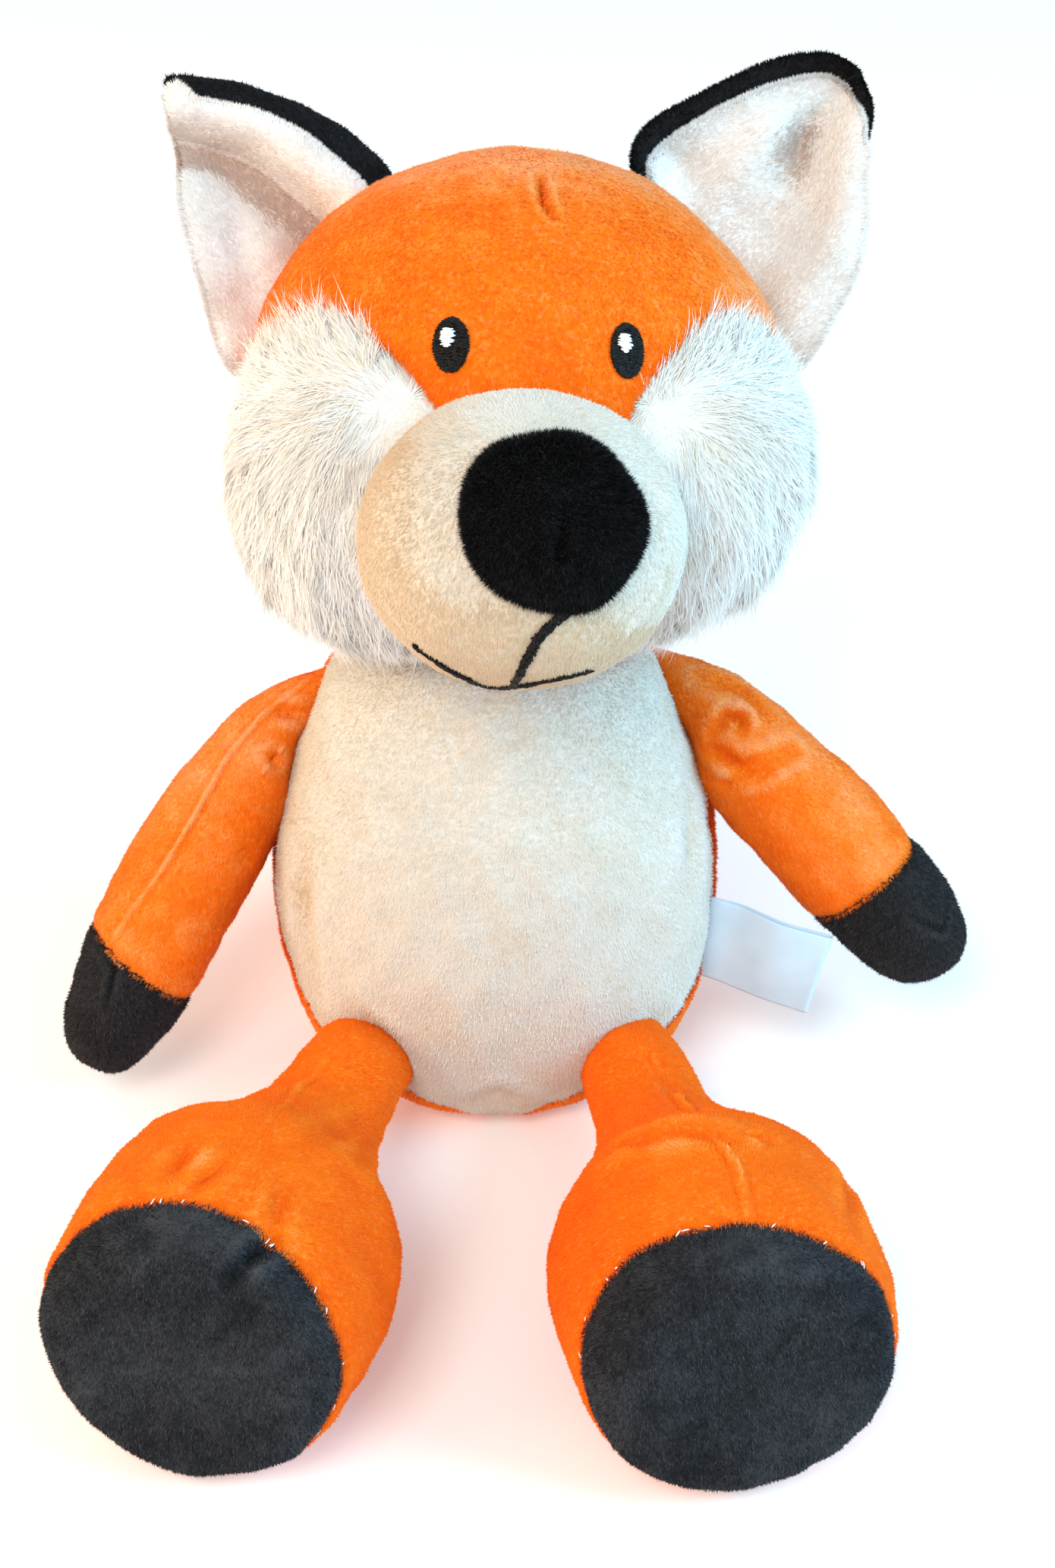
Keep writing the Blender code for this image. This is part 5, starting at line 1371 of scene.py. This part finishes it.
def build_eye(name, tree):
    """A satin-stitched oval with a small white highlight."""
    pixel, seed = EYES[name]
    draw = np.random.default_rng(seed)
    middle = seen(tree, pixel)
    normal = unit(TURN @ (in_head(middle[None])[0] / SKULL_RADII ** 2))
    up = TURN @ np.array([0, 0, 1.0])
    up = unit(up - normal * (up @ normal))
    across = np.cross(up, normal)

    def laid(wide, high, lift):
        spots = middle + across * wide[:, None] + up * high[:, None] + normal * PROBE_HEIGHT
        hits = [tree.ray_cast(Vector(spot), Vector(-normal))[0] for spot in spots]
        return np.array(hits) + normal * lift

    def slanted(count, stray):
        return unit(across[None] + up[None] * draw.normal(size=(count, 1)) * stray)

    wide, high, cells_wide = [], [], []
    for index, row in enumerate(np.arange(-EYE_HALF_HEIGHT, EYE_HALF_HEIGHT, EYE_ROW)):
        reach = EYE_HALF_WIDTH * math.sqrt(max(1 - (row / EYE_HALF_HEIGHT) ** 2, 0.02))
        cells = max(int(round(2 * reach / EYE_STITCH)), 1)
        places = (np.arange(cells) + 0.5 + 0.35 * (index % 2) - 0.175) / cells
        wide += list((places * 2 - 1) * reach)
        high += [row] * cells
        cells_wide += [2 * reach / cells] * cells
    wide, high = np.array(wide), np.array(high) + draw.normal(size=len(high)) * EYE_STRAY
    ways = slanted(len(wide), 0.16)
    lengths = np.array(cells_wide) * draw.uniform(1.05, 1.4, len(wide))
    eye = stitches("eye_%s_stitches" % name, laid(wide, high, EYE_LIFT), ways, normal, lengths, EYE_THREAD,
                   "black_thread")
    turn = np.arange(0, 2 * math.pi, 0.11)
    sine, cosine = np.sin(turn), np.cos(turn)
    rim = laid(0.97 * EYE_HALF_WIDTH * cosine, 0.97 * EYE_HALF_HEIGHT * sine, EYE_LIFT)
    radial = across[None] * (cosine * EYE_HALF_HEIGHT)[:, None]
    radial = unit(radial + up[None] * (sine * EYE_HALF_WIDTH)[:, None])
    stitches("eye_%s_border" % name, rim, radial, normal, draw.uniform(*BORDER_STITCHES, len(turn)),
             BORDER_THREAD, "black_thread")
    rows = np.arange(GLINT_LOW, GLINT_HIGH, GLINT_ROW)
    spots = laid(draw.normal(size=len(rows)) * GLINT_STRAY - GLINT_ASIDE, rows + GLINT_RAISE, GLINT_LIFT)
    lengths = GLINT_WIDTH * np.sqrt(np.maximum(1 - (rows / GLINT_HALF_HEIGHT) ** 2, 0.05))
    lengths = lengths * draw.uniform(0.8, 1.1, len(rows))
    glint = stitches("eye_%s_glint" % name, spots, slanted(len(rows), 0.12), normal, lengths, GLINT_THREAD,
                     "white_thread")
    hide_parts("eye_" + name)
    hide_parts("eye_highlight_" + name)


def build_mouth(skin):
    """The mouth as rows of thin slanted stitches: a stem below the nose and a smile."""
    tree = skin.tree()
    draw = np.random.default_rng(MOUTH_SEED)
    for name, pixels in MOUTH_LINES.items():
        path = smooth_line([seen(tree, pixel) for pixel in pixels], MOUTH_STEP)
        spots, facing = np.array([tree.find_nearest(Vector(spot))[:2] for spot in path]).transpose(1, 0, 2)
        facing = np.where((facing @ (np.array(CAMERA_PLACE) - spots[0]) > 0)[:, None], facing, -facing)
        ways = unit(np.gradient(spots, axis=0))
        share = np.linspace(0, 1, len(spots))
        width = STEM_WIDTHS[0] + (STEM_WIDTHS[1] - STEM_WIDTHS[0]) * share
        if name == "mouth_smile":
            full = np.where(share > 0.56, 0.35, 1.0)
            width = SMILE_END_WIDTH + SMILE_SWELL * bell((share - 0.45) / 0.3) * full
        lines = (spots, ways, facing, width)
        spots, ways, facing, width = [np.repeat(line, MOUTH_ROWS, axis=0) for line in lines]
        count = len(spots)
        across = np.cross(facing, ways)
        aside = draw.uniform(-0.5, 0.5, count) * np.maximum(width - MOUTH_MARGIN, MOUTH_LEAST)
        spots = spots + across * aside[:, None]
        spots = spots + ways * draw.uniform(-MOUTH_STRAY, MOUTH_STRAY, count)[:, None]
        slant = unit(ways + across * (0.25 + 0.30 * draw.normal(size=(count, 1))))
        spots = spots + facing * draw.uniform(*MOUTH_LIFTS, (count, 1))
        piece = stitches(name + "_stitches", spots, slant, facing, draw.uniform(*MOUTH_STITCHES, count),
                         draw.uniform(*MOUTH_THREADS, count), "black_thread")
        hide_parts(name)


# Ears

def on_plane(pixels, origin, facing, count):
    """A smooth line on a plane that the camera sees through the pixels, at evenly spread shares."""
    middle = np.array(CAMERA_PLACE)
    rays = np.array([picture_ray(pixel) for pixel in pixels])
    spots = middle + rays * (((origin - middle) @ facing) / (rays @ facing))[:, None]
    return smooth_line(spots, 0, count)


def ear_skin(edges, back, way, margin, depth, cells=110):
    """One puffy layer of an ear between its upper and lower edges, closed all round."""
    upper, lower = edges
    steps = np.linspace(0, 1, cells)
    span = np.linalg.norm(lower - upper, axis=1)
    share = np.linspace(0, 1, len(upper))
    tall = steps[None, :] * (1 - margin[2])
    wide_at = np.interp(tall, share, span)
    first = np.minimum(margin[0] / wide_at, 0.6)
    last = 1 - np.minimum(margin[1] * fade(tall, 0.70, 0.18) / wide_at, 0.42)
    across = first + (last - first) * steps[:, None]
    tall = np.broadcast_to(tall, across.shape).ravel()
    across = across.ravel()

    def spot(across, tall):
        one, two = [np.stack([np.interp(tall, share, axis) for axis in edge.T], axis=1) for edge in edges]
        far = np.interp(tall, share, span)
        hollow = back * depth(across * far, (1 - across) * far, tall)[:, None]
        return one + (two - one) * across[:, None] + hollow

    here = spot(across, tall)
    over = spot(across + 0.01, tall) - here
    up = spot(across, tall + 0.01) - spot(across, tall - 0.01)
    normal = unit(np.cross(over, up))
    normal = np.where((normal @ back < 0)[:, None], -normal, normal)
    far = np.interp(tall, share, span)
    side = np.repeat(steps, cells)
    rim = np.minimum(np.minimum(side, 1 - side) * far, (1 - np.tile(steps, cells)) * EAR_HEIGHT)
    half = EAR_LAYER / 2 * np.sqrt(np.clip(rim / EAR_RIM, 0.02, 1))
    if way > 0:
        half = half * (1 + 0.7 * bell((side * far - EAR_HEM[0]) / EAR_HEM[1]))
    here = here + normal * (way * (EAR_LAYER_GAP + EAR_LAYER) / 2 + uneven("ear", here))[:, None]
    index = np.arange(cells * cells).reshape(cells, cells)
    quads = grid_cells(index)
    sheet = np.concatenate([quads[:, :3], quads[:, [0, 2, 3]]])
    rim_line = np.concatenate([index[:, 0], index[-1, 1:], index[-2::-1, -1], index[0, -2:0:-1]])
    following = np.roll(rim_line, -1)
    total = cells * cells
    faces = np.concatenate([sheet, sheet[:, ::-1] + total,
                            np.stack([rim_line, rim_line + total, following + total], axis=1),
                            np.stack([rim_line, following + total, following], axis=1)])
    points = np.concatenate([here + normal * half[:, None], here - normal * half[:, None]])
    # Painted shade: the lining is painted darker in the open ear's middle dent and in the hollow under the
    # folded ear's roll
    shade = bell((across - 0.50) / 0.20) * bell((tall - 0.60) / 0.12)
    if depth is folded_ear:
        deep = fade(across * far, *EAR_HOLLOW) * (1 - fade(across * far, *EAR_HOLLOW_END))
        shade = 1.5 * deep * smooth_step((0.9 - tall) / 0.3)
    values = {"edge": np.tile(rim, 2), "shade": np.tile(EAR_PAINTED_SHADE * shade, 2)}
    return Skin(points, facing_out(points, faces), values)


def dented(dents, across, rise):
    """Soft round dents: each has a depth, then a middle and a width across and along the ear."""
    return sum(depth * bell((across - middle) / wide) * bell((rise - height) / tall)
               for depth, middle, wide, height, tall in dents)


def open_ear(upper, lower, rise):
    """How far back the open ear's surface lies: a cup with dents."""
    across = upper / np.maximum(upper + lower, TINY)
    cup = EAR_CUP * np.sin(math.pi * np.clip(across, 0, 1)) * (1 - 0.55 * rise)
    pleats = EAR_PLEAT * np.sin(across * 46) * bell(rise / 0.30) * bell((across - 0.35) / 0.3)
    return cup - EAR_LIP[0] * bell(upper / EAR_LIP[1]) + dented(OPEN_DENTS, across, rise) + pleats


def folded_ear(upper, lower, rise):
    """How far back the folded ear's surface lies: its top edge rolls over a hollow."""
    pleats = EAR_PLEAT * np.sin(rise * 60) * bell(lower / FOLDED_PLEAT_REACH) * bell((rise - 0.1) / 0.14)
    toward_tip = (1 - 0.45 * rise) * fade(rise, 1.04, -0.32)
    fold = swell(EAR_FOLD, upper * (1 + 0.35 * rise)) * toward_tip
    return fold + pleats + dented(FOLDED_DENTS, lower, rise)


def build_ears():
    """Two ears: a dark back that shows as a rim, and a pale lining."""
    back = TURN @ np.array([0, 1.0, 0])
    middle = to_world(0, EAR_SET_BACK, 0)
    for side, name, depth in ((1, "left", open_ear), (-1, "right", folded_ear)):
        outward = TURN @ np.array([side * math.sin(EAR_AIM_TURN), 0, math.cos(EAR_AIM_TURN)])
        toward = np.array([side * math.sin(EAR_PLACE_TURN), 0, math.cos(EAR_PLACE_TURN)])
        radius = 1 / math.hypot(toward[0] / HEAD_HALF_WIDTH, toward[2] / (HEAD_HEIGHT / 2))
        toward = TURN @ toward
        origin = middle + toward * (radius * EAR_BASE_RADIUS_SHARE)
        seat = middle + toward * (radius - EAR_AXIS_SINK)
        edges = [on_plane(line, origin, back, 120) for line in EAR_EDGES[name]]
        bend = ("head", tuple(seat + outward * EAR_BEND[0]), tuple(seat + outward * EAR_BEND[1]))
        for layer, way, kind, count, length in EAR_LAYERS:
            margins = EAR_MARGINS[name] if layer == "lining" else EAR_BACK_MARGINS
            skin = ear_skin(edges, back, way, margins, depth)
            skin.values["seat"] = oval_gap(in_head(skin.points), (0, 0, 0), SKULL_RADII) + EAR_ROOT_SHIFT
            skin = skin.clipped("seat")
            node = "ear_%s_%s" % (name, layer)
            cover(node + "_layer", skin, kind, [node], "ear_" + name, blend=bend, fill=0.1, count=count,
                  fringe=1.0, seed=73 + side + way, length=length, flow=outward)


# Limbs

def seam_root(upper, lower):
    """Where something is sewn on between two places of the torso: its root, outward and seam directions."""
    spot = (upper[0] + lower[0]) / 2
    turn = (upper[1] + lower[1]) / 2
    outward = TORSO.normal(spot, turn)
    seam = unit(TORSO.point(*upper)[0] - TORSO.point(*lower)[0])
    seam = unit(seam - outward * (seam @ outward))
    return TORSO.point(spot, turn)[0], outward, seam


def limb(name, form, split, bend, seed, tilt=(0, 0, 0), nap=PILE_NAP):
    """A limb's sleeve and the cover of its far end, cut across its path, and its filling."""
    kind, *sides = name.split("_")
    end, kinds, counts, size, end_pile = LIMBS[kind]
    far = "_".join([end] + sides) if sides else name + "_" + end
    nodes = ["%s_%s" % (name, part) for part in ("sleeve", end, "stuffing")]
    blend = ("torso", *bend)
    skin = form_skin(form, *size)
    heading = form.heading(1.0)
    away = skin.points - (form.path[3] - heading * split)
    past = away @ unit(heading + np.array(tilt))
    if kind == "leg":
        past = np.maximum(away @ heading, past)
    skin.values["fold"] = creased(name, skin) if name in CREASES else tail_groove(skin)
    skin = skin.raised(uneven(kind, skin.points) + skin.values["fold"] - dip("limb", past))
    skin.values["sleeve"] = -past - SEAM_GAP / 2
    skin.values["end"] = past - SEAM_GAP / 2
    cover(name + "_cover", cut(skin, "sleeve"), kinds[0], nodes[:1], name, blend=blend, count=counts[0],
          fringe=1.3, seed=seed, flow=nap, tones=SLEEVE_TONES[kind])
    tip = cut(skin, "end")
    cover(far + "_cover", tip, kinds[1], nodes[1:2], name, blend=blend, count=counts[1], fringe=0.5,
          seed=seed + 1, flow=np.array(END_NAP) - heading * 0.2, **end_pile)
    if kind == "leg":
        draw = np.random.default_rng(seed + 2)
        rim = draw.choice(np.unique(open_edges(tip.tris)), size=THREAD_ENDS, replace=False)
        facing = tip.normals()[rim]
        ways = unit(np.cross(facing, draw.normal(size=facing.shape)))
        stitches(far + "_threads", tip.points[rim] + facing * THREAD_LIFT, ways, facing,
                 draw.uniform(*THREAD_LENGTHS, len(rim)), THREAD_WIDTH, "white_thread", blend, name)
    filling(name + "_filling", form, 48, 48, nodes[2:], name, blend=blend,
            clip=lambda points: (points - form.path[0]) @ form.heading(0.0) - LIMB_FILLING_START)


def tail_groove(skin):
    """The groove of the seam along one side of the tail."""
    away = np.arccos(np.clip(skin.values["turn_cosine"], -1, 1))
    spot = skin.values["spot"]
    return -TAIL_GROOVE * fade(spot, 0.1, 0.05) * fade(spot, 1.0, -0.05) * bell(away / TAIL_GROOVE_TURN)


def build_arms():
    """Two arms, pinched where they are sewn on, with creases at the armpits."""
    half_share = ARM_SEAM_LENGTH / 2 / TORSO_LENGTH
    for name, side, share, reach, spread, forward in ARMS:
        turn = -SHOULDER_TURN if side > 0 else math.pi + SHOULDER_TURN
        root, outward, seam = seam_root((share + half_share, turn), (share - half_share, turn))
        down = np.array([side * math.sin(spread), 0, -math.cos(spread)])
        aim = unit(down * math.cos(forward) + np.array([0, -1.0, 0]) * math.sin(forward))
        leave = unit(outward * math.cos(ARM_DROOP) - seam * math.sin(ARM_DROOP))
        tip = root + aim * reach + np.array(ARM_TIP_SHIFTS[name])
        bend = (tuple(root), tuple(root + leave * BEND_REACH["arm"]))
        root = root - outward * ARM_SINK + seam * ARM_RAISES[name]
        first = root + leave * (reach * ARM_HANDLE_SHARE)
        form = Form(path=np.array([root, first, tip + (first - tip) * ARM_HANDLE_SHARE, tip]), side=seam,
                    half_width=ARM_HALF_WIDTH, half_depth=ARM_HALF_DEPTH, width_shares=ARM_WIDTH_SHARES,
                    depth_shares=ARM_DEPTH_SHARES, start_bluntness=0.2, end_bluntness=0.75,
                    pinch=PINCH_HALF_THICKNESS, shear=True)
        limb("arm_" + name, form, PAW_LENGTHS[name], bend, 83 + 2 * side, PAW_TILTS[name], aim)


def build_legs():
    """Two legs whose round feet rest on the floor, with creases at the ankles and on the soles."""
    for name, side, reach, splay in LEGS:
        outer = -HIP_OUTER[1] if side > 0 else math.pi + HIP_OUTER[1]
        inner = -HIP_INNER[1] if side > 0 else math.pi + HIP_INNER[1]
        root, outward, seam = seam_root((HIP_OUTER[0], outer), (HIP_INNER[0], inner))
        aim = np.array([side * math.sin(splay), -math.cos(splay), 0])
        sole = unit(np.array([side * math.sin(SOLE_YAW), -math.cos(SOLE_YAW), math.tan(SOLE_PITCH)]))
        tip = np.array([root[0], root[1], FOOT_LIFT]) + aim * reach
        bend = (tuple(root), tuple(root + outward * BEND_REACH["leg"]))
        root = root - outward * LEG_SINK
        form = Form(path=np.array([root, root + outward * (reach * HANDLE_SHARE / 2),
                                   tip - sole * (reach * HANDLE_SHARE), tip]), side=seam,
                    half_width=FOOT_HALF_WIDTH, half_depth=FOOT_HALF_HEIGHT, width_shares=LEG_WIDTH_SHARES,
                    depth_shares=LEG_DEPTH_SHARES, start_bluntness=0.2, end_bluntness=0.17,
                    pinch=PINCH_HALF_THICKNESS, shear=True, settle_height=FOOT_SETTLE_HEIGHT, sink=FOOT_SINK)
        limb("leg_" + name, form, SOLE_BULGE + SOLE_SHIFT, bend, 93 + 2 * side, SOLE_TILTS[name])


def build_tail():
    """The full tail with its pale tip."""
    half_share = TAIL_SEAM_LENGTH / 2 / TORSO_LENGTH
    back = math.pi / 2
    root, outward, seam = seam_root((TAIL_SHARE + half_share, back), (TAIL_SHARE - half_share, back))
    aim = np.array([-math.sin(TAIL_ASIDE_TURN), math.cos(TAIL_ASIDE_TURN), 0])
    rest = TAIL_HALF_WIDTH + TAIL_FLOOR_CLEARANCE
    tip = np.array([root[0], root[1], rest]) + aim * TAIL_REACH
    first = root + outward * (TAIL_REACH * HANDLE_SHARE)
    form = Form(path=np.array([root, [first[0], first[1], rest], tip + (first - tip) * HANDLE_SHARE, tip]),
                side=seam, half_width=TAIL_HALF_WIDTH, half_depth=TAIL_HALF_WIDTH,
                width_shares=TAIL_WIDTH_SHARES, depth_shares=TAIL_DEPTH_SHARES, start_bluntness=0.2,
                end_bluntness=0.9, pinch=PINCH_HALF_THICKNESS, shear=True)
    limb("tail", form, TAIL_TIP_LENGTH, (tuple(root), tuple(root + outward * BEND_REACH["tail"])), 102)


def build_label():
    """A bare satin ribbon, folded into a loop and sewn into the side seam."""
    half_share = LABEL_WIDTH / 2 / TORSO_LENGTH
    turn = -LABEL_TURN
    root, outward, seam = seam_root((LABEL_SHARE + half_share, turn), (LABEL_SHARE - half_share, turn))
    root = root - outward * LABEL_SINK
    outward, seam = (outward * math.cos(LABEL_DROOP) - seam * math.sin(LABEL_DROOP),
                     seam * math.cos(LABEL_DROOP) + outward * math.sin(LABEL_DROOP))
    across = unit(np.cross(outward, seam))
    straight = LABEL_SINK + LABEL_LENGTH - LABEL_LOOP_RADIUS
    steps = 44
    section = [(straight * step / steps, LABEL_LOOP_RADIUS * smooth_step(0.35 + step / steps))
               for step in range(steps)]
    section += [(straight + LABEL_LOOP_RADIUS * math.sin(angle), LABEL_LOOP_RADIUS * math.cos(angle))
                for angle in np.linspace(0, math.pi, 12)]
    section += [(x, -y) for x, y in reversed(section[:steps])]
    columns = 30
    points = []
    for x, y in section:
        wave = LABEL_WAVE * math.sin(x * 190 + 0.6) * smooth_step(x / LABEL_WAVE_START)
        for share in np.linspace(-0.5, 0.5, columns):
            curl = LABEL_CURL * (2 * share) ** 2 * smooth_step(x / LABEL_CURL_START)
            curl += wave * (1 + 0.8 * share)
            points.append(root + outward * x + across * (y - curl) + seam * (share * LABEL_WIDTH))
    faces = grid_cells(np.arange(len(points)).reshape(-1, columns))
    label = mesh_object("ribbon_loop", np.array(points), faces, [CLOTH["satin_ribbon"]])
    solid = label.modifiers.new("thickness", "SOLIDIFY")
    solid.thickness = LABEL_LAYER / 2
    solid.offset = 0
    place(label, "satin_ribbon", "torso")
    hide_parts("care_label")


# Floor, light and camera

def placed(name, data, location, aim):
    """An object that looks along a direction."""
    thing = bpy.data.objects.new(name, data)
    thing.location = location
    thing.rotation_mode = "QUATERNION"
    thing.rotation_quaternion = aim.to_track_quat("-Z", "Y")
    bpy.context.scene.collection.objects.link(thing)
    return thing


def build_stage():
    """A pale floor, soft studio light and the camera."""
    far = FLOOR_REACH
    corners = np.array([(-far, -far, 0), (far, -far, 0), (far, far, 0), (-far, far, 0)])
    nodes = Nodes("pale_floor")
    colour = nodes.ramp(nodes.noise(FLOOR_PATTERN_SIZE, 2), ((0.93, 0.93, 0.93), (0.95, 0.95, 0.95)))
    nodes.shader.inputs["Emission Color"].default_value = FLOOR_GLOW[0]
    nodes.shader.inputs["Emission Strength"].default_value = FLOOR_GLOW[1]
    material = nodes.finish(colour, None, 0.9, 0.0, NEUTRAL)
    mesh_object("floor", corners, np.array([(0, 1, 2, 3)]), [material])
    world = bpy.data.worlds.new("studio")
    bpy.context.scene.world = world
    world.use_nodes = True
    background = world.node_tree.nodes["Background"]
    background.inputs["Color"].default_value = SKY[0]
    background.inputs["Strength"].default_value = SKY[1]
    for name, location, size, power, colour in LAMPS:
        light = bpy.data.lights.new(name, "AREA")
        light.energy = power
        light.color = colour
        light.size = size
        placed(name, light, location, Vector(LAMP_TARGET) - Vector(location))
    lens = bpy.data.cameras.new("camera")
    lens.sensor_fit = "VERTICAL"
    lens.angle = 2 * math.atan(CAMERA_SLOPE)
    bpy.context.scene.camera = placed("camera", lens, CAMERA_PLACE, CAMERA_TARGET - CAMERA_PLACE)
    bpy.context.scene.view_settings.view_transform = "Standard"


build_stage()
build_torso()
cap_tree = build_cap().tree()
muzzle = build_muzzle()
build_cheek("left")
build_cheek("right")
build_eye("right", cap_tree)
build_eye("left", cap_tree)
build_mouth(muzzle)
build_ears()
build_arms()
build_legs()
build_tail()
build_label()
